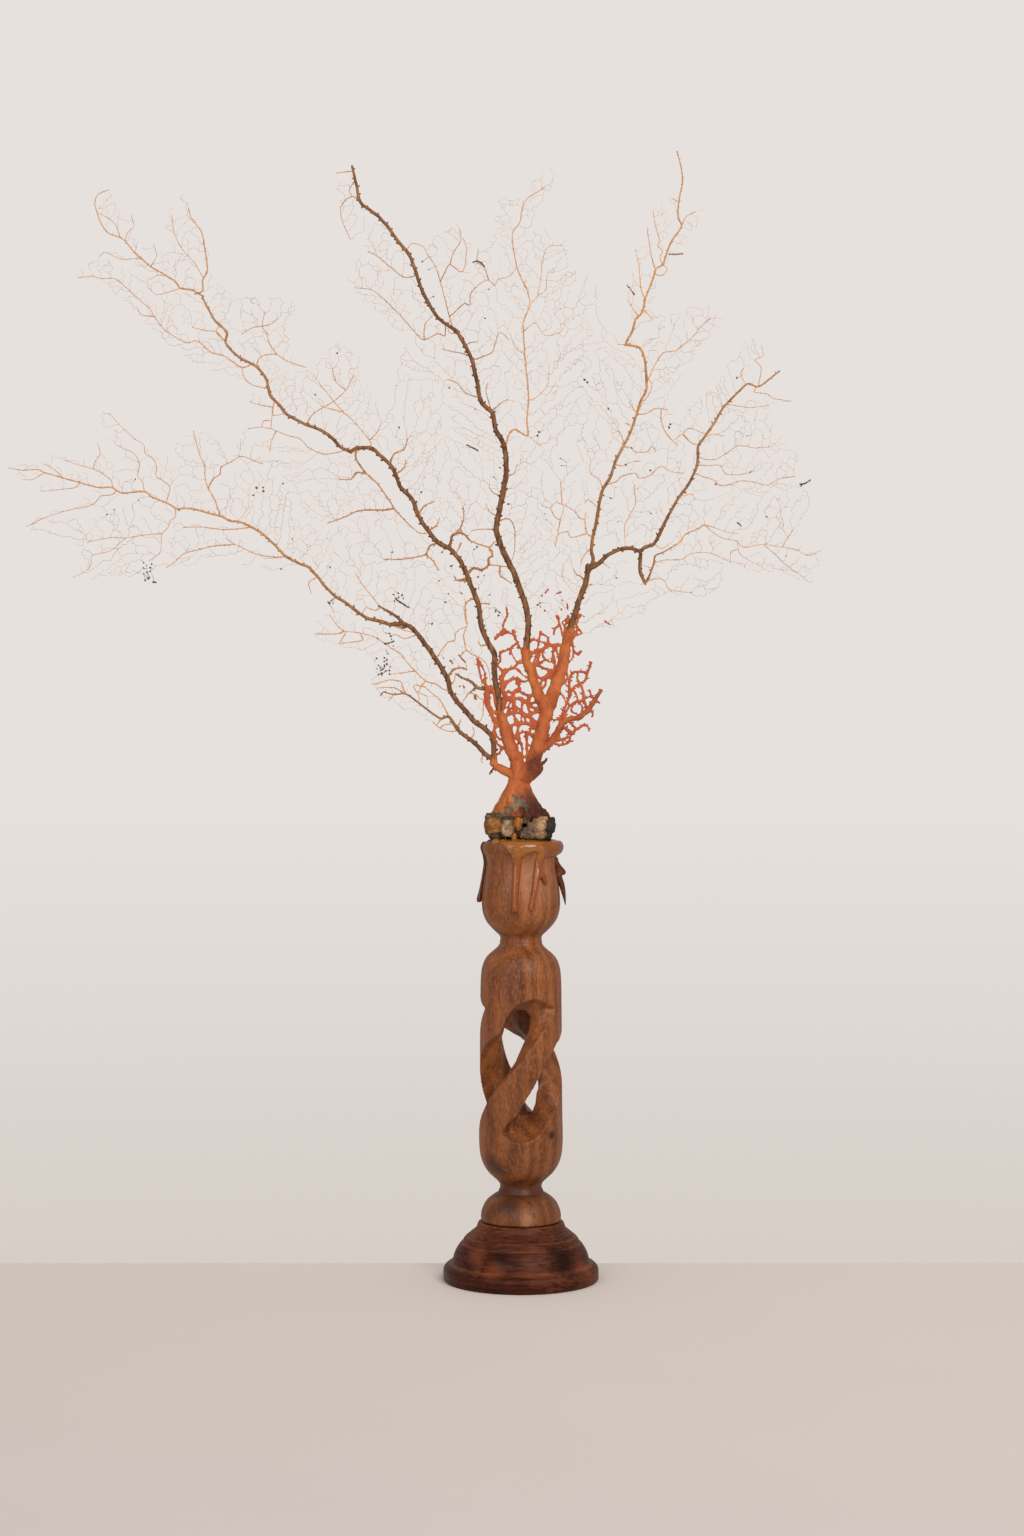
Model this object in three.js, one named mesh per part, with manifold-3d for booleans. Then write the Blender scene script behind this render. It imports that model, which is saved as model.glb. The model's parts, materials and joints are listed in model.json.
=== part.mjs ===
// A dried sea fan standing in a turned wooden holder with an open-twist column.
// Millimetres, +Z up, the broad face of the fan looks toward -Y.
import * as THREE from 'three';
import { mergeVertices } from 'three/addons/utils/BufferGeometryUtils.js';
import Module from 'manifold-3d';

const wasm = await Module();
wasm.setup();

// Driving sizes of the holder
const baseRadius = 52.5;
const baseHeight = 39.8;
const columnSegments = 24;
const baseSegments = 24;
const rimRadius = 26.9;
const rimHeight = 298.8;
const recessRadius = 22;
const recessFloor = 287;
const resinTop = 300.6;
const rockBottom = 301;
const rockHeartRadius = 14;
const rockHeartTop = 311.4;
const dripSides = 5;
const partGap = 0.4;
const seatGap = 0.3;
const weldDistance = 0.03;

// Driving sizes of the three open windows of the twist
const windowCount = 3;
const windowBottomSlope = 1.15;
const windowTopSlope = 2.3;
const windowMeetRadius = 28.2;
const windowInnerRadius = 9;
const windowReach = 46;
const coreRadius = 13.5;

// One window's edges as angles from the front: height, left and right edge on the barrel, then
// left and right edge at the hollow core
const windowEdges = [
  [96.9, -124, -117, -122, -119], [99.2, -139, -103, -130, -110], [103, -149, -91, -136, -104],
  [111, -136, -77, -134, -92], [115, -126, -69, -130, -78], [121, -119, -58, -134, -66],
  [129, -108, -43, -124, -68], [136, -99, -28, -117, -52], [143, -90, -15.5, -110, -32],
  [150, -81, -3.4, -99, -16], [157, -70, 8.7, -90, -4], [162, -59, 17, -82, 5],
  [170, -30, 31, -60, 20], [180, -20, 48.5, -48, 25.5], [186.4, -11.5, 59.6, -24, 14],
  [189.6, -3, 42, -6, 16], [193.4, 14, 26, 14, 20],
];

// Driving sizes of the fan
const fanBow = 9;
const fanRipple = 4;
const thickStemSides = 5;
const thinStemSides = 4;
const thickStemRadius = 1.2;
const twigSides = 3;
const stemTolerance = 1.7;
const twigTolerance = 2.6;
const snapDistance = 3.6;

const deg = THREE.MathUtils.degToRad;

function toSolid(geometry) {
  const plain = geometry.clone();
  plain.deleteAttribute('normal');
  plain.deleteAttribute('uv');
  const merged = mergeVertices(plain, 1e-4);
  const corners = [];
  for (let i = 0; i < merged.index.count; i += 3) {
    const [a, b, c] = [0, 1, 2].map((k) => merged.index.getX(i + k));
    if (a !== b && b !== c && a !== c) corners.push(a, b, c);
  }
  const vertProperties = new Float32Array(merged.attributes.position.array);
  const build = () => new wasm.Manifold(
    new wasm.Mesh({ numProp: 3, vertProperties, triVerts: new Uint32Array(corners) }),
  );
  const solid = build();
  if (solid.volume() > 0) return solid;
  for (let i = 0; i < corners.length; i += 3) {
    [corners[i + 1], corners[i + 2]] = [corners[i + 2], corners[i + 1]];
  }
  return build();
}

// The first edge shorter than the weld distance that can shrink to a point and leave the mesh closed
function shrinkableEdge(corners, place) {
  const around = new Map();
  const meet = (a, b) => around.set(a, (around.get(a) ?? new Set()).add(b));
  for (let i = 0; i < corners.length; i += 3) {
    const [a, b, c] = corners.slice(i, i + 3);
    [[a, b], [b, c], [c, a]].forEach(([p, q]) => [[p, q], [q, p]].forEach((pair) => meet(...pair)));
  }
  const [start, end] = [new THREE.Vector3(), new THREE.Vector3()];
  for (const [a, neighbours] of around) {
    start.fromBufferAttribute(place, a);
    for (const b of neighbours) {
      const shared = [...neighbours].filter((c) => around.get(b).has(c)).length;
      if (start.distanceTo(end.fromBufferAttribute(place, b)) < weldDistance && shared === 2) return [a, b];
    }
  }
  return null;
}

function withoutShortEdges(geometry) {
  const place = geometry.attributes.position;
  let corners = Array.from(geometry.index.array);
  for (let edge = shrinkableEdge(corners, place); edge; edge = shrinkableEdge(corners, place)) {
    const [kept, dropped] = edge;
    const moved = corners.map((i) => (i === dropped ? kept : i));
    corners = [];
    for (let i = 0; i < moved.length; i += 3) {
      const [a, b, c] = moved.slice(i, i + 3);
      if (a !== b && b !== c && a !== c) corners.push(a, b, c);
    }
  }
  return corners;
}

function toGeometry(solid) {
  const mesh = solid.getMesh();
  const geometry = new THREE.BufferGeometry();
  const count = mesh.vertProperties.length / mesh.numProp;
  const xyz = new Float32Array(count * 3);
  for (let i = 0; i < count; i += 1) {
    for (let k = 0; k < 3; k += 1) xyz[3 * i + k] = mesh.vertProperties[mesh.numProp * i + k];
  }
  geometry.setAttribute('position', new THREE.BufferAttribute(xyz, 3));
  geometry.setIndex(new THREE.BufferAttribute(new Uint32Array(mesh.triVerts), 1));
  geometry.setIndex(withoutShortEdges(geometry));
  geometry.computeVertexNormals();
  return geometry;
}

// The largest connected body, so that a twig clipped by a neighbour leaves no crumb behind
function mainBody(solid) {
  const bodies = solid.decompose();
  return bodies.reduce((best, body) => (body.volume() > best.volume() ? body : best));
}

// A turned solid from a profile of [radius, height] pairs, starting and ending on the axis
function turned(profile, segments) {
  const points = profile.map(([r, z]) => new THREE.Vector2(r, z));
  const geometry = new THREE.LatheGeometry(points, segments);
  geometry.rotateX(Math.PI / 2);
  return toSolid(geometry);
}

// A closed body through rings that all have the same number of points
function lofted(rings) {
  const sides = rings[0].length;
  const xyz = [];
  const corners = [];
  rings.forEach((ring) => ring.forEach((p) => xyz.push(p.x, p.y, p.z)));
  for (let i = 0; i < rings.length - 1; i += 1) {
    for (let k = 0; k < sides; k += 1) {
      const a = i * sides + k;
      const b = i * sides + ((k + 1) % sides);
      corners.push(a, b, b + sides, a, b + sides, a + sides);
    }
  }
  const last = (rings.length - 1) * sides;
  for (let k = 1; k < sides - 1; k += 1) {
    corners.push(0, k + 1, k);
    corners.push(last, last + k, last + k + 1);
  }
  const geometry = new THREE.BufferGeometry();
  geometry.setAttribute('position', new THREE.Float32BufferAttribute(xyz, 3));
  geometry.setIndex(corners);
  return toSolid(geometry);
}

// Depth of the gently bowed surface that the whole fan grows in
function depthAt(x, z) {
  const settle = THREE.MathUtils.smoothstep(z, 345, 450);
  return settle * (fanBow * Math.sin((x + 30) / 120) + fanRipple * Math.sin((z - 350) / 75));
}

// Drops route points that lie within the tolerance of a straight run
function thinned(points, tolerance) {
  if (points.length < 3) return points;
  const line = new THREE.Line3(points[0], points[points.length - 1]);
  let far = 0;
  let where = 0;
  const foot = new THREE.Vector3();
  for (let i = 1; i < points.length - 1; i += 1) {
    const d = line.closestPointToPoint(points[i], true, foot).distanceTo(points[i]);
    if (d > far) [far, where] = [d, i];
  }
  if (far < tolerance) return [points[0], points[points.length - 1]];
  const head = thinned(points.slice(0, where + 1), tolerance);
  return head.slice(0, -1).concat(thinned(points.slice(where), tolerance));
}

// A tapering stem of polygon section along 3-D points; grow widens and lengthens it
function stem(points, startRadius, endRadius, sides, grow = 0) {
  const along = [0];
  for (let i = 1; i < points.length; i += 1) {
    along.push(along[i - 1] + points[i].distanceTo(points[i - 1]));
  }
  const total = along[along.length - 1];
  const rings = [];
  const across = new THREE.Vector3(0, 1, 0);
  points.forEach((point, i) => {
    const before = points[Math.max(i - 1, 0)];
    const after = points[Math.min(i + 1, points.length - 1)];
    const tangent = after.clone().sub(before).normalize();
    const side = across.clone().cross(tangent).normalize();
    across.copy(tangent).cross(side).normalize();
    const centre = point.clone();
    if (i === 0) centre.addScaledVector(tangent, -grow);
    if (i === points.length - 1) centre.addScaledVector(tangent, grow);
    const r = THREE.MathUtils.lerp(startRadius, endRadius, along[i] / total) + grow;
    const ring = [];
    for (let k = 0; k < sides; k += 1) {
      const turn = (2 * Math.PI * (k + 0.5)) / sides;
      ring.push(centre.clone()
        .addScaledVector(across, r * Math.cos(turn))
        .addScaledVector(side, -r * Math.sin(turn)));
    }
    rings.push(ring);
  });
  return lofted(rings);
}

// A route of [x, z] pairs laid on the fan surface
function onFan(route, tolerance) {
  return thinned(route.map(([x, z]) => new THREE.Vector3(x, depthAt(x, z), z)), tolerance);
}

// The point of the grown lines nearest to an end of a new twig, when it lies close enough
function snapped(end, lines) {
  const best = { distance: snapDistance, point: end };
  const foot = new THREE.Vector3();
  for (const line of lines) {
    for (let i = 1; i < line.length; i += 1) {
      new THREE.Line3(line[i - 1], line[i]).closestPointToPoint(end, true, foot);
      const distance = foot.distanceTo(end);
      if (distance < best.distance) Object.assign(best, { distance, point: foot.clone() });
    }
  }
  return best.point;
}

function joined(solids) {
  return solids.reduce((whole, solid) => whole.add(solid));
}

// Plinth: stepped foot with two turned grooves and a low neck under the column
const plinthProfile = [
  [0, 0], [baseRadius, 0], [53, 1], [53, 7], [51.5, 10.2], [47.5, 12], [46.6, 14], [44, 21],
  [41, 25.9], [39.6, 26.6], [37.6, 29.6], [36.2, 30], [33, 33.2], [30.2, 35.6], [29.4, 38],
  [28, baseHeight], [0, baseHeight],
];
const plinth = turned(plinthProfile, baseSegments);

// Column: dome, neck, barrel with the open twist, upper neck and candle cup
const columnProfile = [
  [0, baseHeight + 0.3], [27.3, baseHeight + 0.3], [26.9, 46], [25, 52], [16.2, 59.5],
  [14.1, 63.5], [15.5, 67], [23.4, 75], [26.8, 83], [28.6, 94], [28, 147], [27.6, 200],
  [26.8, 212], [23.6, 220], [14.1, 229], [14.1, 234], [22.8, 243], [25.5, 248], [26.9, 257],
  [25.7, 270], [23.8, 283],
  [25.2, 290.5], [rimRadius, 295], [24.5, rimHeight], [recessRadius, rimHeight],
  [recessRadius, recessFloor], [0, recessFloor],
];

// One window: a leaf-shaped cutter that winds down the barrel and is scooped at both ends
function windowCutter(startAngle) {
  const lowest = windowEdges[0][0];
  const highest = windowEdges[windowEdges.length - 1][0];
  const rings = windowEdges.map(([z, left, right, leftCore, rightCore]) => {
    const scoopLow = windowMeetRadius - windowBottomSlope * (z - lowest);
    const scoopHigh = windowMeetRadius - windowTopSlope * (highest - z);
    const inner = Math.max(windowInnerRadius, scoopLow, scoopHigh);
    const wall = [
      [leftCore, windowInnerRadius], [left, windowMeetRadius], [left, 34],
      [(left + right) / 2, windowReach], [right, 34], [right, windowMeetRadius],
      [rightCore, windowInnerRadius],
    ];
    return wall.map(([angle, radius], i) => {
      const r = Math.max(radius, inner + 0.02 * Math.min(i, wall.length - 1 - i));
      const turn = deg(startAngle + angle);
      return new THREE.Vector3(r * Math.sin(turn), -r * Math.cos(turn), z);
    });
  });
  return lofted(rings);
}

const hollowCore = turned([
  [0, 105], [11, 116], [coreRadius, 132], [coreRadius, 181], [0, 189],
], 9);
let column = turned(columnProfile, columnSegments).subtract(hollowCore);
for (let i = 0; i < windowCount; i += 1) {
  column = column.subtract(windowCutter((360 / windowCount) * i));
}
column = mainBody(column);

// Holdfast skirt and the thick orange stems that rise from it
const skirtRings = [
  [312, 14, -1.4], [316, 18.2, -1.5], [320.2, 17.8, -1.8], [324.6, 13.8, -2.4],
  [330, 10.6, -2.3], [338, 7.6, -1.9], [347, 6.4, 1.2],
];
function skirt(grow = 0) {
  const sides = 9;
  const heights = skirtRings.length - 1;
  return lofted(skirtRings.map(([z, r, x], i) => {
    const ring = [];
    const end = i === 0 ? -grow : i === heights ? grow : 0;
    for (let k = 0; k < sides; k += 1) {
      const turn = (2 * Math.PI * k) / sides;
      const lobes = 1 + 0.07 * Math.sin(3 * turn + 0.35 * i) + 0.04 * Math.cos(5 * turn);
      const reach = r * lobes + grow;
      ring.push(new THREE.Vector3(x + reach * Math.cos(turn), 0.85 * reach * Math.sin(turn), z + end));
    }
    return ring;
  }));
}

// Each piece of the fan: stems of [route, start radius, end radius] and finer twigs grown on them
const trunkStems = [
  [[[-1, 340], [-2.9, 354], [-6.5, 361.5], [-8.8, 369.2], [-11.5, 379], [-14.3, 386]], 4.9, 3],
  [[[1.5, 341], [6.7, 349.2], [10.4, 360], [13.5, 371.5], [16.5, 383.1], [20.4, 394.6],
    [24.2, 406.2], [28.1, 417.7], [30.4, 429.2], [31.6, 438], [33.6, 442]], 5.2, 2.6],
  [[[15, 384], [8.8, 398.5], [5.8, 407.7], [4.2, 416.9], [2.9, 427.6]], 3.6, 2.6],
  [[[-3, 341], [-7.6, 345.3], [-13.4, 348.2], [-18, 351]], 2.8, 2.2],
  [[[3, 343], [8, 347.5], [13.6, 352.6]], 4.8, 3.9],
];
const trunkTwigs = [
  [[-14, 409], [-11.2, 415.4], [-5, 417.7], [-1.9, 420.8], [3.4, 421]],
  [[-12.8, 400], [-11.2, 406.2], [-5, 410.8], [-1.9, 406.2], [1.2, 400], [9, 396]],
  [[-13, 386], [-8.8, 396.9], [-4.2, 396.2], [0.4, 396.9], [4.2, 393.1], [14, 386]],
  [[-12, 380], [-8.1, 388.5], [-3.5, 390.8], [1.2, 386.9], [5, 383.8], [14.5, 378]],
  [[-10.5, 376], [-3.5, 379.2], [1.2, 379.2], [7.3, 379.2], [14.8, 374]],
  [[-8.5, 368], [-3.5, 370.8], [1.2, 373.8], [5.8, 373.1], [13, 366]],
  [[-3.5, 370.8], [0.4, 364.6], [1.2, 357.7], [2.7, 356.2], [9, 354]],
  [[3.5, 371.5], [4.2, 363.1], [4.2, 355.5], [6, 351]],
  [[4.6, 415], [10.4, 419.2], [15, 417.7], [19.6, 415.4], [27, 413]],
  [[3.4, 423.5], [10.4, 429.2], [15.8, 430.8], [18.1, 433.8], [22.7, 433.8], [31, 433]],
  [[6.5, 436.2], [8.1, 436.9], [11.9, 436.2], [15.8, 437.3]],
  [[13.5, 443.1], [12.3, 436.2], [11.2, 429.2], [8.8, 421.5], [4.6, 413]],
  [[22.7, 433.8], [21.9, 427.7], [20.4, 421.5], [16.5, 423.1], [10.4, 419.2]],
  [[25, 453.8], [26.5, 447.7], [28.8, 440], [31, 434]],
  [[32.7, 453.8], [30.4, 446.2], [30.2, 438]],
  [[41.2, 454.6], [38.1, 448.5], [38.6, 443.8], [35.5, 438.5], [31.2, 433]],
  [[37.3, 435.4], [36.2, 429.2], [34.2, 423.1], [28.3, 417]],
  [[8.8, 399], [12.5, 406], [19.6, 415.4]],
  [[-5.5, 443.8], [-3, 436.2], [0.4, 429.2], [3.2, 423]],
];

const rightLowSprayStems = [
  [[[14.2, 361], [20.4, 366.9], [24.2, 372.3], [28.1, 379.2], [32.7, 382.3], [39.6, 383.8],
    [45.8, 388.5], [50.4, 395.4], [55, 402.3]], 2.1, 1.4],
];
const rightLowSprayTwigs = [
  [[20.4, 366.9], [26.5, 368.2], [33.5, 370.6], [38.1, 375.4], [43.1, 378.8]],
  [[20.4, 366], [26.5, 364.8], [32.7, 366.5], [36.5, 367.3]],
  [[28.1, 379.2], [31.9, 389.2], [36.5, 393.8], [42.7, 394.6], [45.8, 388.5]],
  [[24.2, 372.3], [27.2, 383], [30.4, 390.8], [33.5, 398.5], [35.8, 403.8], [40.4, 406.9],
    [43.5, 408.5], [45.8, 414.4], [48.1, 421.5]],
  [[42.7, 394.6], [42.7, 400.8], [40.4, 406.9]],
  [[33.5, 398.5], [33.2, 410], [36.5, 414.8], [45.8, 414.6]],
  [[32.7, 382.3], [35.4, 378.5], [38.1, 375.4]],
];

const leftLowSprayStems = [
  [[[-20.4, 356], [-24.9, 358.7], [-30.3, 365], [-37.4, 370.4], [-42.8, 374.9], [-49.1, 383.8],
    [-54.5, 382.9], [-59, 385.2], [-69.7, 393.3], [-78.7, 399.6], [-86.8, 399.1], [-94, 400.9],
    [-95.8, 398.2]], 1.8, 0.5],
];
const leftLowSprayTwigs = [
  [[-42.8, 374.9], [-46.4, 374], [-50.9, 374.4], [-55.4, 376.2], [-60.2, 380.6]],
  [[-55.4, 376.2], [-52.2, 378.5], [-45.5, 379.4]],
  [[-78.7, 399.6], [-85.9, 403.6], [-92.2, 404], [-98.5, 403.5]],
  [[-78.7, 399.6], [-80.8, 404.5], [-82.3, 408.1], [-90.4, 409], [-98.5, 406.3], [-102.1, 406.3]],
  [[-49.1, 383.8], [-51.8, 389.2], [-55.4, 395.4], [-61.7, 400.9], [-65.4, 404.4]],
];

const farLeftStems = [
  [[[-18.6, 352.6], [-18.6, 364.1], [-20.4, 371.3], [-25, 376], [-32.1, 381.2], [-37.4, 387.4],
    [-42.8, 393.7], [-48.2, 401.8], [-50, 409], [-53.6, 416.2], [-58.1, 423.3], [-64.4, 432.3],
    [-69.7, 439.5], [-75.1, 444.9], [-80.5, 447.6], [-88.7, 446.9], [-93.1, 448.5], [-105.6, 451.6],
    [-113.4, 456.9], [-119.2, 461.5], [-127.3, 466.7], [-134.2, 473.7], [-138.8, 479.4],
    [-144.6, 485.8], [-150.4, 488.1], [-160.2, 493.3], [-167.7, 500.8], [-175.8, 508.3],
    [-183.8, 513.2], [-191.9, 516.7], [-197.7, 517.2], [-204.6, 520.4], [-211.5, 522.1],
    [-223, 525.4], [-232.9, 525.4]], 1.9, 0.8],
];
const farLeftTwigs = [
  [[-79.5, 447.8], [-88.6, 454.7], [-95.8, 458.8], [-102.7, 467.3], [-108, 474], [-113.1, 482.3]],
  [[-95.8, 458.8], [-99.2, 456.6], [-105.8, 458.3], [-108.4, 453.6]],
  [[-48.2, 400.9], [-53.6, 403.1], [-58.1, 406.3], [-65.3, 408.5], [-72.4, 415.3], [-77.8, 421.1],
    [-81.4, 426], [-88.6, 431], [-98.5, 437.7], [-110.1, 441.3], [-120.4, 442.5], [-126.1, 447.1],
    [-130.2, 453.5]],
  [[-72.4, 415.3], [-84.1, 413.5], [-89.5, 413]],
  [[-120.4, 442.5], [-126.1, 440.4], [-140, 440.2]],
  [[-110.1, 441.3], [-107.7, 436.6], [-115, 434.8], [-123.8, 433.9]],
  [[-160.2, 492.4], [-170, 492.7], [-180.4, 494.8], [-186.1, 497.3], [-194.8, 501.3], [-201, 505.4]],
  [[-194.8, 501.3], [-209.2, 500.2], [-218.5, 497.9], [-229.6, 494.8], [-236.2, 488.8], [-241.6, 485.5]],
  [[-183.8, 512.2], [-201.1, 511.2], [-216.2, 512.9], [-230, 512.8]],
  [[-204, 521], [-208.6, 531.9], [-212.7, 539.4], [-214.9, 547], [-215, 554.2], [-218.7, 562.9],
    [-222.6, 578.2]],
  [[-212.7, 539.4], [-209.2, 545.8], [-204.6, 548.7], [-204, 553.3], [-197.1, 557.3], [-190.2, 561],
    [-183.8, 559], [-175.8, 555.6]],
  [[-139.5, 478.6], [-144.6, 475.4], [-142.9, 467.9]],
  [[-50, 411], [-45.5, 416.6], [-40.1, 417.5], [-37, 416.2], [-38.3, 421.5], [-42.8, 426]],
  [[-48.2, 404], [-45.5, 409], [-44.6, 413.5], [-40.1, 410.8], [-33.9, 408.1], [-29.4, 404],
    [-23.1, 403.1]],
  [[-57.6, 424], [-53.6, 430.1], [-50, 435], [-45.5, 436.4], [-44.6, 441.3], [-41, 444.4],
    [-37, 445.8], [-38.3, 452.9], [-39.2, 460.1]],
];

const farLeftTipStems = [
  [[[-233.9, 525.4], [-241.6, 529.7], [-251.4, 533.5], [-256.3, 537.1], [-271, 536.2], [-278.7, 540],
    [-287.4, 540], [-295, 541.7], [-300.5, 543.5], [-311.4, 546.4], [-324.5, 550.4], [-330, 552.4],
    [-339.7, 552], [-350, 553.8]], 0.8, 0.4],
];
const farLeftTipTwigs = [
  [[-278.2, 539.6], [-278.7, 544.4], [-285.2, 549.8], [-291, 552.4], [-301.6, 555.5], [-311.4, 558.8]],
  [[-291, 552.4], [-289.6, 558], [-286.3, 562.9], [-288, 570]],
  [[-275.4, 536.8], [-279.2, 534.8], [-285.8, 534.2], [-292.3, 528.2], [-307, 525], [-322.3, 520.6],
    [-337.6, 513.6]],
  [[-300.5, 543.5], [-303.7, 540], [-314.7, 538.7], [-327.2, 537.6]],
  [[-256.3, 537.1], [-257.4, 543.3], [-260.7, 547.7], [-259.6, 556.4], [-263.4, 562.9], [-274.3, 568.4]],
  [[-241.6, 529.7], [-239, 540.5], [-248.2, 547.7], [-247.6, 553.1], [-250.3, 559.7], [-255.6, 562.9],
    [-256.3, 568.4], [-262.3, 572.7], [-272.1, 581.5], [-279.8, 590.2]],
  [[-235.5, 526.2], [-235.1, 519.9], [-238.9, 517.2], [-240.2, 512.8], [-244.3, 508.4], [-244.9, 501.9],
    [-246, 495.3], [-253.6, 489.9]],
  [[-244.3, 508.9], [-253.6, 507.9], [-261.2, 506.8], [-268.9, 505.6], [-274.3, 501.3], [-279.8, 496.9],
    [-292.3, 493.7], [-292.9, 487.7], [-297.2, 482.8], [-305.4, 479]],
  [[-268.9, 505.6], [-278.7, 506], [-289.6, 504.1], [-296.1, 502.4]],
];

const leftStems = [
  [[[-14.6, 387], [-15.3, 395.6], [-17.3, 406.2], [-18.1, 416.9], [-18.1, 426.2], [-22, 434],
    [-26, 442], [-28, 451.2], [-29, 460.5], [-33.4, 471.9], [-36.9, 481.2], [-41.5, 490.4],
    [-48.4, 498.5], [-56.5, 503], [-63.4, 511.2], [-70.4, 521.5], [-73.8, 531.9], [-82.5, 541.2],
    [-85.4, 549.2], [-89.4, 556.2], [-95.8, 561.9], [-101.5, 566.5], [-111.3, 567.1],
    [-116, 564.8]], 2.2, 1.25],
];
const leftTwigs = [
  [[-48.4, 499], [-46.7, 508.3], [-39.8, 509.4], [-35.2, 504.8], [-27.7, 501.9], [-21.9, 500.2],
    [-17.9, 503.7], [-13, 505.4]],
  [[-36.9, 481.2], [-32.3, 485.8], [-26.5, 484.6], [-21.9, 488.1], [-14.4, 487.2], [-7, 487]],
  [[-21.9, 500.2], [-19.4, 495], [-22.5, 492.1], [-21.9, 488.1]],
  [[-39.8, 509.4], [-41.5, 512.9], [-39.2, 519.2], [-39.6, 527]],
  [[-56.5, 502.5], [-62.3, 500.8], [-65.2, 495], [-73.8, 492.7], [-81.9, 491.5], [-93.5, 491.5]],
  [[-65.2, 495], [-60, 490.4], [-56.5, 484]],
  [[-112, 566.6], [-112.3, 559.6], [-105.4, 549.8], [-98.4, 543.5], [-89.6, 531.3], [-86.5, 526.2],
    [-81.9, 521], [-75.6, 514.6], [-69.2, 509.4], [-62, 509.6]],
  [[-105.4, 549.8], [-112.3, 550.2], [-115.7, 545.8], [-124, 545.8]],
  [[-86.5, 526.2], [-93.5, 525], [-105.4, 525], [-112.3, 523.9], [-119.2, 520.4], [-131.9, 515.8]],
  [[-89.4, 556.2], [-86.5, 563], [-79.6, 566.5], [-77.3, 573.5]],
  [[-36, 477], [-43.2, 477.1], [-45.5, 480]],
];

const leftUpperStems = [
  [[[-117, 564.8], [-123, 567.8], [-130.3, 575], [-137, 579.4], [-146.6, 582.9], [-158.7, 589],
    [-163.9, 595.1], [-170.6, 602.6], [-172.6, 612.4], [-179.6, 621.3], [-191.8, 628.1],
    [-200.2, 637.5], [-199.6, 644.7], [-207.5, 652.5], [-212.6, 661.2], [-216, 668]], 1.25, 0.65],
];
const leftUpperTwigs = [
  [[-119, 565.6], [-126.1, 563.7], [-134.8, 562.7], [-144.6, 567.1], [-150.4, 572.9], [-159.6, 575.4],
    [-170, 579.5], [-176.9, 580.6], [-185.6, 579.6]],
  [[-168.6, 598], [-169.2, 588], [-170, 579.5]],
  [[-166.5, 577.9], [-170, 570], [-170.8, 564]],
  [[-179.6, 621.3], [-177.7, 627], [-173.4, 629.4], [-165.7, 629.7], [-160.2, 625.9], [-152.6, 623.1],
    [-146, 621]],
  [[-165.7, 629.7], [-170.6, 636.6], [-172.7, 644.4], [-175.5, 648.8], [-173.8, 658.6]],
  [[-175.5, 648.8], [-182, 647.7], [-189.7, 643.3]],
  [[-183.1, 622.6], [-189.7, 621], [-200.6, 628], [-210.4, 631.3], [-219.8, 638.6], [-226.3, 637.3],
    [-234, 641.1], [-242.1, 646.6], [-248.7, 655.3], [-252, 660.8], [-257.4, 665.1], [-267.8, 674.9],
    [-275.4, 680.9], [-285.2, 680.9], [-290.7, 682.6], [-300.5, 681.6]],
  [[-201, 638], [-206.8, 644.9], [-213.6, 645.5], [-223, 647.9]],
  [[-172.6, 606.5], [-182, 609], [-187.4, 613.6], [-189.7, 621]],
  [[-248.7, 655.3], [-256.3, 655.9], [-260, 659.6]],
];

const leftEndStems = [
  [[[-216.9, 669.6], [-223.1, 673], [-230.9, 674.2], [-235.3, 679.5], [-251, 689], [-257, 694.3],
    [-263.1, 699.8], [-270.1, 707.8], [-278.8, 711.2], [-284, 716.9], [-289, 731], [-287, 738],
    [-279.6, 741.3]], 0.65, 0.35],
  [[[-219.4, 671], [-215.6, 672.6], [-215.8, 679.3], [-212.6, 686], [-213.1, 693.5], [-214.7, 703.3],
    [-216.9, 713.1], [-223.5, 721.8], [-225.1, 728.4]], 0.6, 0.35],
];
const leftEndTwigs = [
  [[-257, 694.3], [-264.5, 694.2], [-268.9, 693.7], [-275.4, 695.7], [-281.9, 698.9], [-286.3, 695.7]],
  [[-268.3, 706.1], [-266.7, 712], [-262.3, 716.3], [-264.5, 724]],
  [[-215.6, 681], [-221, 690.8], [-225.2, 695.7], [-230.7, 702.2], [-235, 712], [-236.7, 724]],
  [[-230.9, 674.2], [-236.1, 672.4], [-242.7, 670.6], [-247.6, 670], [-253.6, 676]],
  [[-271.6, 708.4], [-274.9, 717.5], [-280.8, 722.4], [-284.1, 726.6]],
];

const middleStems = [
  [[[3, 428.6], [4.8, 441], [4.9, 451.2], [3, 461.5], [-1.1, 473.1], [-5.7, 484.6], [-12.7, 498.5],
    [-16.7, 511.2], [-15.5, 521.5], [-12.7, 535.4], [-10.3, 548.1], [-10.3, 560.8], [-12.1, 571.2],
    [-17.3, 580.4], [-19.8, 591.9], [-27, 598.6], [-29.4, 609.2], [-32.8, 625], [-36.6, 634.3],
    [-43.2, 645.6]], 2, 1.25],
];
const middleTwigs = [
  [[-30.5, 601], [-37.3, 604.5], [-43.4, 611.2], [-50, 614]],
  [[-34.5, 629.5], [-38.5, 631.3], [-45.8, 632.6], [-54.3, 634.4]],
  [[-33.2, 627], [-23.9, 630.4], [-19, 633.8], [-14.7, 646], [-8, 641.1]],
  [[-14.8, 517.5], [-8.6, 519.8], [-4.6, 514], [-4, 507.7], [-4.6, 496.2], [-7, 489]],
  [[-19.6, 592], [-23.9, 605.8], [-22.5, 612]],
  [[-16.4, 512], [-25.4, 512.5], [-34, 511.6]],
];

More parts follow.
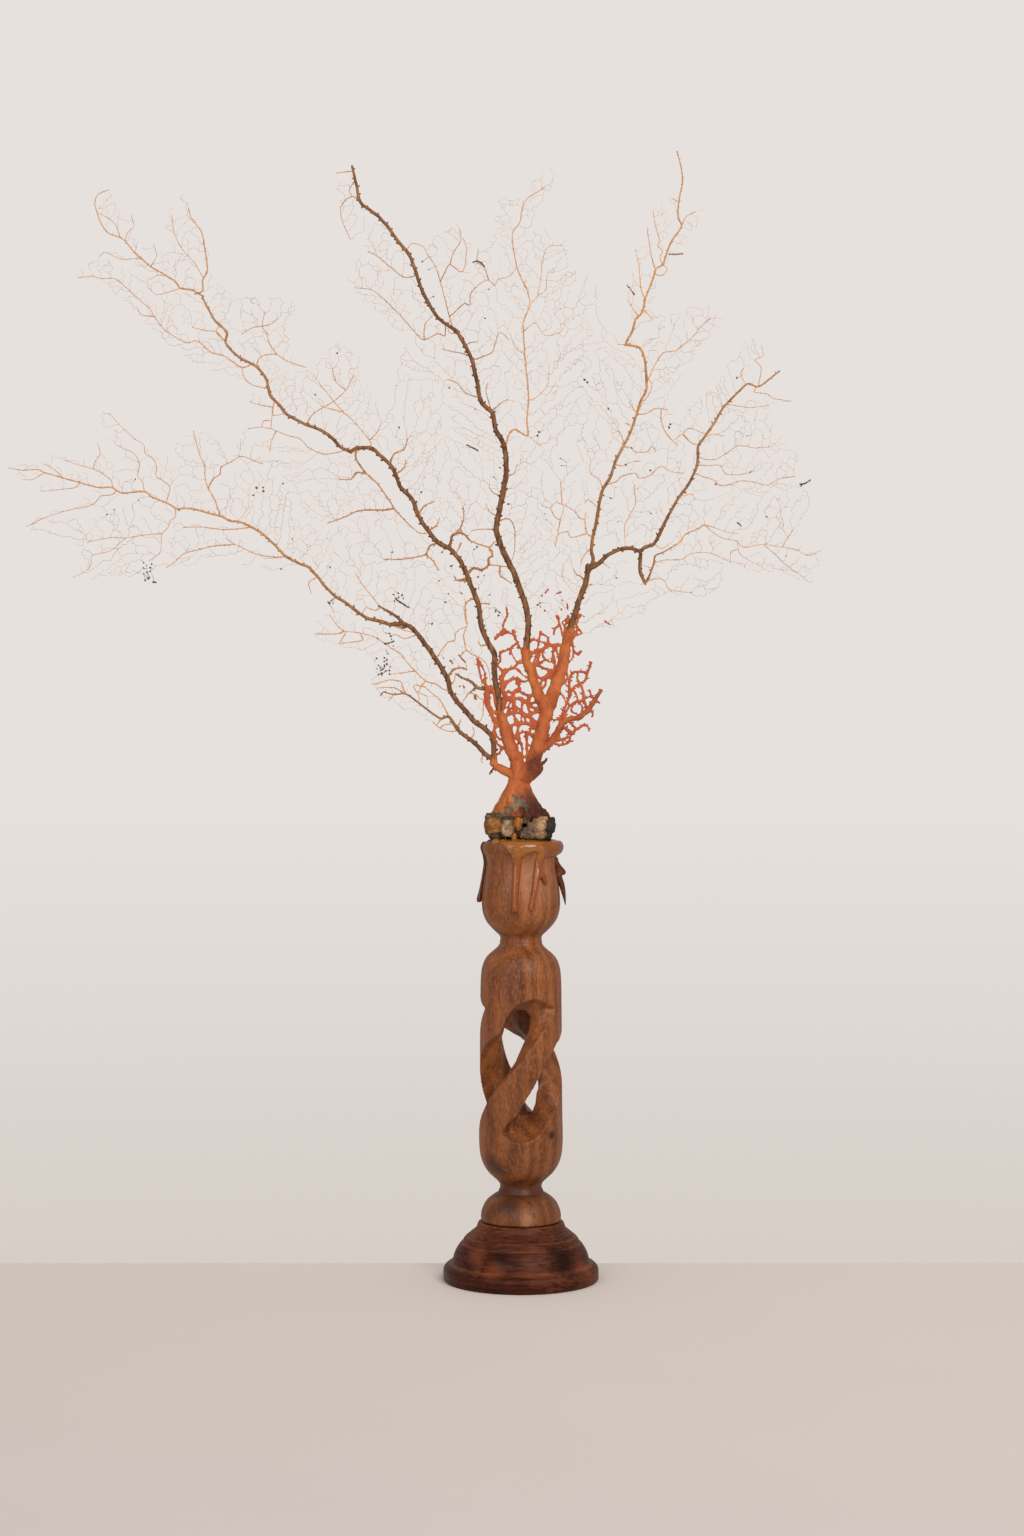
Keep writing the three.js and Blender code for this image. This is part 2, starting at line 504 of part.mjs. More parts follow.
const middleUpperStems = [
  [[[-44, 646.8], [-53.3, 652.6], [-60.2, 660.6], [-65.8, 670.4], [-70, 681.5], [-74.2, 694],
    [-77.5, 700], [-83.9, 707.9], [-90.8, 717.2], [-97.8, 724.6], [-107.6, 731.8], [-110.3, 737.1],
    [-111.8, 745.4], [-114.8, 758]], 1.2, 0.85],
];
const middleUpperTwigs = [
  [[-45.6, 648], [-48.4, 655], [-51.3, 666.7], [-54.9, 680.1], [-58.6, 691.1], [-64.1, 699],
    [-66.5, 703.8], [-74.4, 705.7], [-77.4, 701]],
  [[-54.9, 680.1], [-51.3, 687.4], [-48.2, 691.7], [-40.9, 686.8], [-37.9, 692.3], [-37.3, 704.5],
    [-39.7, 709.9]],
  [[-48.8, 656.6], [-45.2, 659.4], [-38.5, 665.5], [-34.8, 664.4], [-34.2, 672.2], [-27.5, 679.5],
    [-22, 681.5], [-17.8, 677.9], [-15.6, 682], [-8, 684.3], [-3.6, 689]],
  [[-71.2, 684.2], [-79.3, 682.5], [-88.4, 689.2], [-98.2, 697.1], [-104.3, 699.6]],
  [[-51.5, 651.5], [-51.9, 643.4], [-56.8, 644.7], [-65.9, 640.5], [-71.4, 644.7], [-81.1, 655.7],
    [-90.9, 665.5], [-100.6, 673.4], [-106.7, 674.6], [-113.4, 675.2]],
  [[-109.4, 735], [-114.4, 737.1], [-119.3, 734.4], [-122.6, 728.4], [-121, 719.7], [-116, 708]],
  [[-113.8, 754.5], [-119, 754], [-125.3, 752.9]],
];

const middleSideStems = [
  [[[-9.4, 572.6], [-8, 577.5], [-4, 580.4], [4.6, 576.4], [4.1, 586.2], [5.2, 600], [4.8, 609.4],
    [2.9, 627.7], [1.7, 646], [1.7, 653.3], [6, 665.5], [4.2, 675.2], [0.5, 682.5], [-3.2, 692.3],
    [-5.6, 706.9], [-5.6, 714.2], [-0.7, 721.5], [0.5, 728.8], [3.8, 737.1], [16.4, 745.5]], 0.6, 0.35],
];
const middleSideTwigs = [
  [[5.6, 666], [11.3, 671.6], [13.8, 685], [15, 697.1], [19.2, 705.1], [29, 705.7]],
  [[11.3, 671.6], [16.8, 675.2], [18, 686.2], [22.9, 690.4]],
  [[1.7, 646.6], [9.5, 652.9], [16.2, 644.7], [25.3, 646]],
  [[2.6, 631.3], [-3.9, 636.2], [-7.6, 646]],
  [[5.2, 600.5], [10.1, 602.1], [17.4, 609.4], [19.2, 617.9], [19.2, 626.5]],
  [[4.4, 576.8], [10.4, 571.6], [14.5, 568.8]],
];

const rightStems = [
  [[[33.9, 443.2], [36.8, 453.6], [40.7, 466.2], [44.5, 476.3], [46.3, 488.4]], 2.1, 1.8],
];
const rightTwigs = [
  [[44.6, 478], [38.1, 482.3], [36, 486]],
  [[43.6, 474.6], [49, 474.8]],
];

const rightUpperStems = [
  [[[47.4, 485.6], [49.4, 492], [48.5, 499.6], [49.6, 508.8], [51.9, 518.1], [53.7, 529.6], [56, 540],
    [61.2, 548.1], [64.6, 558.5], [70.4, 570], [75, 579.2], [79, 590.8], [81.9, 600], [85.8, 607.5],
    [86.1, 613.8], [85.3, 626.1], [83.5, 633], [80.6, 637.1], [72, 639.4], [75.9, 647.2],
    [78.3, 655.4], [83, 661.2], [85.3, 670.6], [87.6, 676.5], [91, 685.4]], 1.15, 0.6],
];
const rightUpperTwigs = [
  [[49.4, 507.7], [45, 510.6], [43.8, 519.2], [40.4, 520.4], [36.9, 525], [31.2, 528.5],
    [23.7, 531], [20.2, 527.3], [15, 528.5]],
  [[45.6, 510.2], [39.8, 508.3], [34, 507.4], [31.7, 511.2], [25.4, 508.8], [23.7, 500.8]],
  [[57.8, 543], [65.8, 545.8], [69.2, 549.2], [78.5, 551.5], [80.8, 548.1], [88.8, 549.8],
    [95.8, 556.2], [102.7, 552.7], [111.9, 551.5]],
  [[70, 569.4], [75.6, 568.8], [78.5, 566], [86.5, 566], [90, 570], [92.9, 565.4]],
  [[56.2, 540.4], [53.7, 546.9], [47.9, 551], [47.3, 556.2]],
  [[70.6, 570.8], [68.7, 577.5], [66.3, 579.8], [62.3, 578.1]],
  [[79.6, 591.8], [85.4, 591.9], [92.3, 595.4], [101.5, 594.8]],
  [[86, 611.8], [90.5, 622.8], [94.8, 630.1], [98.4, 633.8], [107, 635.6], [117.9, 644.7],
    [124, 652.1], [130, 657.5]],
  [[85, 670], [82, 677.6], [80.8, 692.3], [78.3, 703.8]],
  [[73.6, 639], [66.4, 638.9]],
  [[84.6, 662.6], [89.9, 656.9]],
  [[81, 657.8], [77.7, 662], [73, 669]],
];

const rightTipStems = [
  [[[91.2, 686.2], [92.6, 690.8], [97, 693.6], [99.7, 700.8], [103.3, 709.9], [109.9, 719.7],
    [107.6, 726.4], [108.2, 737.4], [110.6, 749.5], [110, 759.3], [107, 771.6]], 0.6, 0.45],
];
const rightTipTwigs = [
  [[92, 687.4], [96, 685.8], [100.3, 690.4], [97, 693.6]],
  [[97, 693.6], [95.2, 698.4], [97, 702.6], [93.6, 706.3], [94.8, 710.5], [91.7, 721.5], [90.5, 731.3]],
  [[92, 689.5], [89.3, 699.6], [86.9, 714.2], [86.9, 718.5]],
  [[109.4, 719.2], [113.1, 726.4], [119.2, 730]],
  [[108.1, 736.6], [103.3, 739.2]],
];

const rightArchStems = [
  [[[49.6, 487.2], [53.1, 489.2], [60, 495.6], [69.2, 499.6], [76.2, 499.6], [81.9, 497.8],
    [85.4, 500.8], [91.2, 502.7], [95.8, 511.2], [101.5, 522.7], [108.5, 534.8], [115.4, 544.6],
    [121, 557.3], [121.7, 569.6], [125.3, 575.2], [132.3, 585.1], [139.4, 597.1], [149.3, 607],
    [155.6, 612.6], [162.7, 610.5], [169, 614.7], [177.5, 621.4]], 1.6, 0.5],
];
const rightArchTwigs = [
  [[162.7, 610.5], [159.8, 607.1], [169, 605.6], [173.2, 602.7], [185.9, 600.6]],
  [[162.7, 610.5], [164.8, 623.2], [160.5, 628.8], [166.2, 631.7], [164.8, 638.7]],
  [[140.8, 598.9], [146.4, 597.8], [157.7, 596.4], [169, 597.8]],
  [[121.2, 556.9], [128.1, 556.9], [136.6, 556.9], [140.8, 551.3], [150.7, 550.6], [159.1, 552.7]],
  [[118.8, 552], [125.3, 549.2], [132.3, 547], [138.7, 542.8], [150.7, 546.3], [160.5, 545.6],
    [169, 543.5], [177.5, 547.7], [188.8, 549.2]],
  [[122, 571], [116.8, 572.4], [111.2, 578.1], [103.8, 574], [98.1, 581.5], [96.3, 589.6]],
  [[121.5, 563], [126.7, 561.1], [133.7, 560.9], [138.7, 563.7], [149.3, 570.3], [160.5, 568.9],
    [171.8, 569.6]],
  [[109, 535.6], [117.5, 537.2], [119.6, 532.9]],
  [[55, 491], [61.2, 486.3]],
];

const hookStems = [
  [[[82.4, 494.6], [81.9, 484.6], [85.4, 476.8], [88.3, 481.2], [91.2, 489.2], [92.6, 495],
    [99.2, 498.1], [108.5, 503.9], [113.3, 509.7], [121, 513.2], [126.7, 516.7]], 1.3, 0.6],
];
const hookTwigs = [
  [[126.2, 516.2], [132.3, 511.1], [139.4, 506.8], [147.8, 505.4], [153.5, 500.8], [166.9, 502.9],
    [177.5, 501.2], [188.8, 499.5], [197.2, 495.4], [207, 499]],
  [[125.7, 516.4], [132.3, 514.6], [142.2, 511.1], [150, 510.4]],
  [[166.9, 502.9], [176.1, 494.9], [181.7, 489.2], [191.6, 482.2], [198.6, 476.5]],
  [[91.4, 489.4], [98.5, 492], [109.8, 492.3], [116.8, 496.3], [128.1, 497.3], [135.1, 494.9],
    [144.3, 490.6]],
  [[85.8, 477.4], [94.2, 479.3], [98.5, 477.9], [102.7, 471.6], [118.2, 469.5]],
  [[149.3, 504.8], [150.7, 496.3], [159.1, 490.6]],
];

const fanPieces = [
  ['trunk', trunkStems, trunkTwigs, 1.25, 1.05, 'orange'],
  ['left_branch', leftStems, leftTwigs, 0.8, 0.4, 'brown'],
  ['middle_branch', middleStems, middleTwigs, 0.55, 0.4, 'brown'],
  ['right_branch', rightStems, rightTwigs, 0.6, 0.45, 'brown'],
  ['far_left_branch', farLeftStems, farLeftTwigs, 0.7, 0.4, 'brown'],
  ['left_upper_branch', leftUpperStems, leftUpperTwigs, 0.6, 0.4, 'brown'],
  ['middle_upper_branch', middleUpperStems, middleUpperTwigs, 0.6, 0.4, 'brown'],
  ['right_upper_branch', rightUpperStems, rightUpperTwigs, 0.55, 0.4, 'tan'],
  ['right_arch_branch', rightArchStems, rightArchTwigs, 0.5, 0.4, 'brown'],
  ['hook_branch', hookStems, hookTwigs, 0.5, 0.4, 'tan'],
  ['middle_side_branch', middleSideStems, middleSideTwigs, 0.5, 0.4, 'tan'],
  ['far_left_tip', farLeftTipStems, farLeftTipTwigs, 0.5, 0.4, 'tan'],
  ['left_end_spray', leftEndStems, leftEndTwigs, 0.45, 0.35, 'tan'],
  ['right_upper_tip', rightTipStems, rightTipTwigs, 0.45, 0.35, 'tan'],
  ['right_low_spray', rightLowSprayStems, rightLowSprayTwigs, 1.15, 1.0, 'orange'],
  ['left_low_spray', leftLowSprayStems, leftLowSprayTwigs, 0.7, 0.45, 'brown'],
];

function growPiece([name, stems, twigs, twigStart, twigEnd], grow) {
  const lines = [];
  const solids = stems.map(([route, start, end]) => {
    const line = onFan(route, stemTolerance);
    lines.push(line);
    return stem(line, start, end, start > thickStemRadius ? thickStemSides : thinStemSides, grow);
  });
  twigs.forEach((route) => {
    const line = onFan(route, twigTolerance);
    line[0] = snapped(line[0], lines);
    line[line.length - 1] = snapped(line[line.length - 1], lines);
    lines.push(line);
    solids.push(stem(line, twigStart, twigEnd, twigSides, grow));
  });
  if (name === 'trunk') solids.push(skirt(grow));
  return joined(solids);
}

const fanSolids = [];
const fanClearances = [];
for (const piece of fanPieces) {
  let solid = growPiece(piece, 0);
  for (const clearance of fanClearances) solid = solid.subtract(clearance);
  fanSolids.push(mainBody(solid));
  fanClearances.push(growPiece(piece, partGap));
}

// The cluster of small stones that the holdfast grips, set in the cup
const lumps = [
  [-19, -3, 309.5, 7.4, 9, 9.2], [-9.5, -11.5, 308.5, 5.6, 6, 6.8],
  [0, -12, 310, 5.6, 5.4, 6], [10, -9.5, 307.5, 8.6, 7.4, 8], [17, 2, 307, 6.6, 7.5, 8],
  [0, 12, 308, 14, 8, 8],
];
function rockCluster() {
  return joined(lumps.map(([x, y, z, rx, ry, rz], i) => {
    const ball = new THREE.IcosahedronGeometry(1, 1);
    const place = ball.attributes.position;
    for (let k = 0; k < place.count; k += 1) {
      const p = new THREE.Vector3().fromBufferAttribute(place, k);
      const bulge = 0.09 * Math.sin(5 * p.x + 2 * i) * Math.cos(4 * p.y - i);
      const rough = 1 + bulge + 0.06 * Math.sin(6 * p.z + i);
      place.setXYZ(k, x + p.x * rx * rough, y + p.y * ry * rough, z + p.z * rz * rough);
    }
    return toSolid(ball);
  }));
}
const belowRock = 40;
const rockFloor = new THREE.BoxGeometry(80, 80, belowRock);
rockFloor.translate(0, 0, rockBottom - belowRock / 2);
const rockHeart = turned([
  [0, rockBottom + 1], [rockHeartRadius, rockBottom + 1],
  [rockHeartRadius, rockHeartTop], [0, rockHeartTop],
], 7);
const rock = mainBody(
  rockCluster().add(rockHeart).subtract(toSolid(rockFloor)).subtract(fanClearances[0]),
);

// Resin poured into the cup: plug, low mound, a sheet over the front rim and hanging drips
const cupOutline = columnProfile.filter(([r, z]) => z > 240 && r > recessRadius);
function cupRadius(z) {
  const above = cupOutline.findIndex((point) => point[1] >= z);
  if (above < 1) return cupOutline[cupOutline.length - 1][0];
  const [[r0, z0], [r1, z1]] = [cupOutline[above - 1], cupOutline[above]];
  return r0 + ((r1 - r0) * (z - z0)) / (z1 - z0);
}
// A drip: [angle from the front, height, radius of the bead, stand-off] from the rim downward
function drip(beads) {
  const rings = beads.map(([angle, z, r, off]) => {
    const turn = deg(angle);
    const reach = cupRadius(z) + off;
    const centre = new THREE.Vector3(reach * Math.sin(turn), -reach * Math.cos(turn), z);
    const out = new THREE.Vector3(Math.sin(turn), -Math.cos(turn), 0);
    const side = new THREE.Vector3(Math.cos(turn), Math.sin(turn), 0);
    const ring = [];
    for (let k = 0; k < dripSides; k += 1) {
      const around = (2 * Math.PI * k) / dripSides;
      ring.push(centre.clone()
        .addScaledVector(out, r * Math.cos(around))
        .addScaledVector(side, r * Math.sin(around)));
    }
    return ring;
  });
  return lofted(rings);
}
const drips = [
  [[-88, 299.4, 1, 1.2], [-88, 297, 1.8, 1.6], [-88, 286, 1.6, 2.2], [-88, 264, 1.4, 2],
    [-88, 259, 2, 2], [-88, 257, 0.8, 2]],
  [[-7, 299.4, 1, 1], [-7, 296, 3.2, 0.6], [-7, 291, 2.5, 0.8], [-7.5, 280, 1.7, 1],
    [-8.5, 257, 1.7, 1], [-8.5, 254, 2.1, 1], [-8.5, 252.4, 0.8, 1]],
  [[27, 299.4, 1, 1], [26, 296, 3.4, 0.6], [26, 290, 2.3, 0.8], [26, 277, 1.9, 1],
    [20, 267, 1.5, 1], [15, 257, 1.6, 1], [15, 252.6, 0.8, 1]],
  [[37, 299.4, 1, 1], [36, 288, 1.8, 1], [37, 277, 1.5, 1], [40, 270.6, 0.8, 1]],
  [[84, 299.4, 1, 1.2], [84, 297, 1.9, 1.6], [86, 286, 1.8, 2.2], [88, 276, 1.5, 2.4], [88, 262, 1.2, 2.6],
    [88, 256, 0.6, 2.6]],
  [[165, 299.4, 1, 1.2], [165, 297, 1.9, 1.4], [165, 280, 1, 1.1]],
];
const cupClearance = turned([
  [0, cupOutline[0][1]],
  ...cupOutline.map(([r, z]) => [r + partGap, z > rimHeight - 1 ? z + seatGap : z]),
  [recessRadius - seatGap, rimHeight + seatGap],
  [recessRadius - seatGap, recessFloor + seatGap],
  [0, recessFloor + seatGap],
], columnSegments);
const mound = turned([
  [0, recessFloor + seatGap], [recessRadius - seatGap, recessFloor + seatGap],
  [recessRadius - seatGap, rimHeight + seatGap], [24.6, rimHeight + seatGap],
  [rimRadius + 0.1, 296.2], [rimRadius + 1, 296.6], [rimRadius + 0.3, rimHeight + 0.2],
  [25, resinTop - 0.2], [0, resinTop],
], columnSegments);
const resinSolids = [mound, ...drips.map(drip)];
const resin = mainBody(
  joined(resinSolids).subtract(cupClearance),
);

const group = new THREE.Group();
group.name = 'sea_fan_on_holder';

function addPart(name, solid, color, roughness) {
  const material = new THREE.MeshStandardMaterial({ color, roughness, metalness: 0 });
  const mesh = new THREE.Mesh(toGeometry(solid), material);
  mesh.name = name;
  group.add(mesh);
}

const fanColors = { orange: 0xb4532a, brown: 0x3a2417, tan: 0x9a6a44 };
addPart('plinth', plinth, 0x4a1f16, 0.45);
addPart('column', column, 0x6e4028, 0.5);
addPart('resin', resin, 0xa8591c, 0.15);
addPart('rock', rock, 0x7d7466, 0.9);
fanPieces.forEach(([name, , , , , tone], i) => {
  addPart(name, fanSolids[i], fanColors[tone], 0.8);
});

export default group;
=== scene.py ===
import json
import math
import random

import bmesh
import bpy
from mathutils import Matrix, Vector, noise
from mathutils.kdtree import KDTree


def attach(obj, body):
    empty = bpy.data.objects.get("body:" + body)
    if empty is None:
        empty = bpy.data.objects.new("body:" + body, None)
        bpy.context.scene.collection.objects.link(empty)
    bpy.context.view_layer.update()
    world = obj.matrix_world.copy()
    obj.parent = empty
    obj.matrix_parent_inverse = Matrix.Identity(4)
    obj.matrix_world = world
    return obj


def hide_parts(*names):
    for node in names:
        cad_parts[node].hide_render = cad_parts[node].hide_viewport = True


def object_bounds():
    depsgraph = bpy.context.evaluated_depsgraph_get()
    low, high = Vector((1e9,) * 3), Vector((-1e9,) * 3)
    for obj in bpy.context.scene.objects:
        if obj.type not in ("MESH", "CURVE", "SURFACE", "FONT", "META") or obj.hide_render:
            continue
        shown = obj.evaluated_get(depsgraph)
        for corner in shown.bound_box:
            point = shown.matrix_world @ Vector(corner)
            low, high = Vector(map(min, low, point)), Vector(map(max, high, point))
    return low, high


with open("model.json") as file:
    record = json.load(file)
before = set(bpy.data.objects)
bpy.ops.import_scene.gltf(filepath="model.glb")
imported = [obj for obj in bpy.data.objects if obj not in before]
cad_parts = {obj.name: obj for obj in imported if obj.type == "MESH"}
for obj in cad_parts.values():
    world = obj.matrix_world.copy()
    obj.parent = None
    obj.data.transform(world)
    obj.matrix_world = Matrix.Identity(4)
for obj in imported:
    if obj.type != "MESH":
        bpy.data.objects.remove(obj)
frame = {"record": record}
cadLow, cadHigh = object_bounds()
mm = 0.001


# Node graphs

class Wire:
    # A socket that takes part in ordinary Python sums
    def __init__(self, paint, socket):
        self.paint = paint
        self.socket = socket

    def sum(self, operation, first, second):
        return self.paint.node("Math", {"operation": operation}, {0: first, 1: second})

    def __add__(self, other):
        return self.sum("ADD", self, other)

    def __radd__(self, other):
        return self.sum("ADD", other, self)

    def __sub__(self, other):
        return self.sum("SUBTRACT", self, other)

    def __rsub__(self, other):
        return self.sum("SUBTRACT", other, self)

    def __mul__(self, other):
        return self.sum("MULTIPLY", self, other)

    def __rmul__(self, other):
        return self.sum("MULTIPLY", other, self)


class Paint:
    # One procedural material
    def __init__(self, name):
        self.material = bpy.data.materials.new(name)
        self.material.use_nodes = True
        self.tree = self.material.node_tree
        self.tree.nodes.clear()

    def node(self, kind, settings, inputs, output=0):
        made = self.tree.nodes.new("ShaderNode" + kind)
        for key, value in settings.items():
            if key == "stops":
                ramp = made.color_ramp
                while len(ramp.elements) > 1:
                    ramp.elements.remove(ramp.elements[0])
                for i, (place, colour) in enumerate(value):
                    element = ramp.elements.new(place) if i else ramp.elements[0]
                    element.position = place
                    element.color = (*colour, 1)
            else:
                setattr(made, key, value)
        for key, value in inputs.items():
            if isinstance(value, Wire):
                self.tree.links.new(value.socket, made.inputs[key])
            else:
                made.inputs[key].default_value = value
        return Wire(self, made.outputs[output] if len(made.outputs) else None)

    def place(self, scale):
        # Position on the object, stretched by a scale along each axis
        spot = self.node("TexCoord", {}, {}, "Object")
        return self.node("VectorMath", {"operation": "MULTIPLY"}, {0: spot, 1: scale})

    def height(self, scale):
        return self.node("SeparateXYZ", {}, {0: self.place((scale, scale, scale))}, 2)

    def tones(self, count):
        # The first shares of the tone that is stored at each point of the mesh
        tone = self.node("Attribute", {"attribute_name": "tone"}, {}, "Color")
        parts = self.node("SeparateColor", {}, {0: tone})
        return [Wire(self, parts.socket.node.outputs[i]) for i in range(count)]

    def grains(self, scale, detail, roughness):
        return self.node("TexNoise", {}, {"Vector": self.place(scale), "Scale": 1.0, "Detail": detail,
                                          "Roughness": roughness})

    def ramp(self, share, *stops):
        # Grey level from a list of (place, level)
        shades = [(place, (level, level, level)) for place, level in stops]
        return self.node("ValToRGB", {"stops": shades}, {0: share})

    def mixed(self, share, first, second):
        return self.node("Mix", {"data_type": "RGBA"}, {0: share, 6: first, 7: second}, 2)

    def patched(self, colour, softPatches, ragged):
        # Soft-edged patches, each of centre and reach in metres, strength and colour
        at = self.node("TexCoord", {}, {}, "Object")
        for centre, reach, strength, tint in softPatches:
            away = self.node("VectorMath", {"operation": "DISTANCE"}, {0: at, 1: centre}, 1)
            share = self.ramp(away * (1 / reach) + ragged * 0.5 - 0.25, (0.35, 1), (1.0, 0))
            colour = self.mixed(share * strength, colour, tint)
        return colour

    def bump(self, height, depth, strength):
        return self.node("Bump", {}, {"Height": height, "Distance": depth * mm, "Strength": strength})

    def surface(self, volume=None, **inputs):
        named = {key.replace("_", " "): value for key, value in inputs.items()}
        shader = self.node("BsdfPrincipled", {}, named)
        sockets = {"Surface": shader}
        if volume:
            sockets["Volume"] = volume
        self.node("OutputMaterial", {}, sockets)
        return self.material


def rgb(r, g, b):
    # A colour as read off a screen, 0 to 255
    linear = [((v / 255 + 0.055) / 1.055) ** 2.4 if v > 10 else v / 3294.6 for v in (r, g, b)]
    return (*linear, 1)


def held(value):
    return min(1, max(0, value))


def lerped(first, second, share):
    return tuple(a + (b - a) * share for a, b in zip(first, second))


# Mesh building

def toneStored(mesh, tones):
    # A tone is three shares that the mesh's material reads, each from 0 to 1
    layer = mesh.attributes.new("tone", "FLOAT_COLOR", "POINT")
    layer.data.foreach_set("color", [v for tone in tones for v in (*tone, 1)])


class Shell:
    # Gathers closed bodies into one mesh, with a tone stored at each point
    def __init__(self):
        self.points = []
        self.faces = []
        self.tones = []

    def add(self, points, faces, tone=(0, 0, 0)):
        # tone is one tone or a list with one for each point
        start = len(self.points)
        self.points.extend(points)
        self.faces.extend([tuple(start + i for i in face) for face in faces])
        self.tones.extend(tone if isinstance(tone, list) else [tone] * len(points))

    def loft(self, rings, tone=(0, 0, 0)):
        # A closed skin through rings; tone is one tone or a list with one for each ring
        sides = len(rings[0])
        faces = []
        for i in range(len(rings) - 1):
            for k in range(sides):
                a, b = i * sides + k, i * sides + (k + 1) % sides
                faces.append((a, b, b + sides, a + sides))
        last = (len(rings) - 1) * sides
        faces += [tuple(reversed(range(sides))), tuple(range(last, last + sides))]
        if isinstance(tone, list):
            tone = [t for t in tone for _ in range(sides)]
        self.add([p for ring in rings for p in ring], faces, tone)

    def build(self, name):
        mesh = bpy.data.meshes.new(name)
        mesh.from_pydata([tuple(mm * v for v in p) for p in self.points], [], self.faces)
        toneStored(mesh, self.tones)
        mesh.update()
        piece = bpy.data.objects.new(name, mesh)
        bpy.context.scene.collection.objects.link(piece)
        return piece


def smoothShaded(piece):
    piece.data.polygons.foreach_set("use_smooth", [True] * len(piece.data.polygons))
    piece.data.update()


def applied(piece, kind, **settings):
    # Adds a modifier and keeps its result as the mesh
    modifier = piece.modifiers.new(kind.lower(), kind)
    for key, value in settings.items():
        setattr(modifier, key, value)
    bpy.context.view_layer.update()
    graph = bpy.context.evaluated_depsgraph_get()
    mesh = bpy.data.meshes.new_from_object(piece.evaluated_get(graph))
    piece.modifiers.clear()
    old = piece.data
    piece.data = mesh
    bpy.data.meshes.remove(old)


def remeshed(piece, voxel, smoothing):
    # One skin over all the bodies in a piece, evened out by some rounds of smoothing
    applied(piece, "REMESH", mode="VOXEL", voxel_size=voxel * mm, adaptivity=0.0)
    if smoothing:
        applied(piece, "SMOOTH", factor=0.5, iterations=smoothing)


def keptInBox(piece):
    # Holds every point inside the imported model's box
    mesh = piece.data
    places = [0.0] * (3 * len(mesh.vertices))
    mesh.vertices.foreach_get("co", places)
    for i, place in enumerate(places):
        places[i] = min(max(place, cadLow[i % 3]), cadHigh[i % 3])
    mesh.vertices.foreach_set("co", places)
    mesh.update()


def installed(piece, material, slotName, *nodes):
    # Paints a piece, hangs it on the body and lets it stand for its solids, if it has any
    keptInBox(piece)
    piece.data.materials.clear()
    piece.data.materials.append(material)
    smoothShaded(piece)
    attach(piece, "root")
    if nodes:
        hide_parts(*nodes)
    return piece


def toneRepainted(piece, toneAt):
    # Gives every point of a finished mesh its tone again
    old = piece.data.attributes.get("tone")
    if old:
        piece.data.attributes.remove(old)
    toneStored(piece.data, [toneAt(vertex.co / mm) for vertex in piece.data.vertices])


def pushed(piece, liftAt):
    # Moves every point along its normal by a lift in millimetres that depends on its place
    mesh = piece.data
    count = len(mesh.vertices)
    places, normals = [0.0] * (3 * count), [0.0] * (3 * count)
    mesh.vertices.foreach_get("co", places)
    mesh.vertices.foreach_get("normal", normals)
    for i in range(0, 3 * count, 3):
        lift = liftAt(Vector(places[i:i + 3]) / mm) * mm
        for k in range(3):
            places[i + k] += normals[i + k] * lift
    mesh.vertices.foreach_set("co", places)
    mesh.update()


def turnedShell(profile, segments):
    # A turned body from [radius, height] pairs that start and end on the axis
    shell = Shell()
    points = [(0, 0, profile[0][1])]
    for r, z in profile[1:-1]:
        for k in range(segments):
            turn = 2 * math.pi * k / segments
            points.append((r * math.cos(turn), r * math.sin(turn), z))
    points.append((0, 0, profile[-1][1]))
    faces = []
    rows = len(profile) - 2
    for k in range(segments):
        after = (k + 1) % segments
        faces.append((0, 1 + after, 1 + k))
        last = 1 + (rows - 1) * segments
        faces.append((last + k, last + after, len(points) - 1))
        for i in range(rows - 1):
            a, b = 1 + i * segments + k, 1 + i * segments + after
            faces.append((a, b, b + segments, a + segments))
    shell.add(points, faces)
    return shell


def beadsAlong(beads, step, sides):
    # Rings of a tube through beads of (x, y, z, radius)
    line = curved(beads, step)
    return ringsAlong([bead.to_3d() for bead in line], [bead[3] for bead in line], sides)


def finer(profile, step):
    # The same profile with extra points so that no side is longer than the step
    result = [profile[0]]
    for (r0, z0), (r1, z1) in zip(profile, profile[1:]):
        count = max(1, math.ceil(math.hypot(r1 - r0, z1 - z0) / step))
        for i in range(1, count + 1):
            result.append((r0 + (r1 - r0) * i / count, z0 + (z1 - z0) * i / count))
    return result


def curved(points, step, pull=0.5):
    # A smooth line through points of any number of values, sampled about every step
    result = [Vector(points[0])]
    last = len(points) - 1
    for i in range(last):
        p0, p1 = Vector(points[max(i - 1, 0)]), Vector(points[i])
        p2, p3 = Vector(points[i + 1]), Vector(points[min(i + 2, last)])
        t1, t2 = (p2 - p0) * pull, (p3 - p1) * pull
        count = max(1, round((p2 - p1).length / step))
        for k in range(1, count + 1):
            t = k / count
            a, b = 2 * t ** 3 - 3 * t ** 2 + 1, t ** 3 - 2 * t ** 2 + t
            c, d = 3 * t ** 2 - 2 * t ** 3, t ** 3 - t ** 2
            result.append(p1 * a + t1 * b + p2 * c + t2 * d)
    return result


def ringsAlong(points, radii, sides):
    # Rings of a tube, turning as little as possible from one to the next
    rings = []
    across = Vector((0.05, 1, 0.03))
    for i, point in enumerate(points):
        tangent = points[min(i + 1, len(points) - 1)] - points[max(i - 1, 0)]
        tangent = tangent.normalized() if tangent.length > 1e-9 else Vector((0, 0, 1))
        side = across.cross(tangent).normalized()
        across = tangent.cross(side).normalized()
        r = radii[i]
        ring = []
        for k in range(sides):
            turn = 2 * math.pi * k / sides
            ring.append(tuple(point + across * (r * math.cos(turn)) - side * (r * math.sin(turn))))
        rings.append(ring)
    return rings


# The wooden holder

darkStain, wornStain, brownStain = rgb(24, 8, 4), rgb(142, 74, 44), rgb(44, 26, 20)

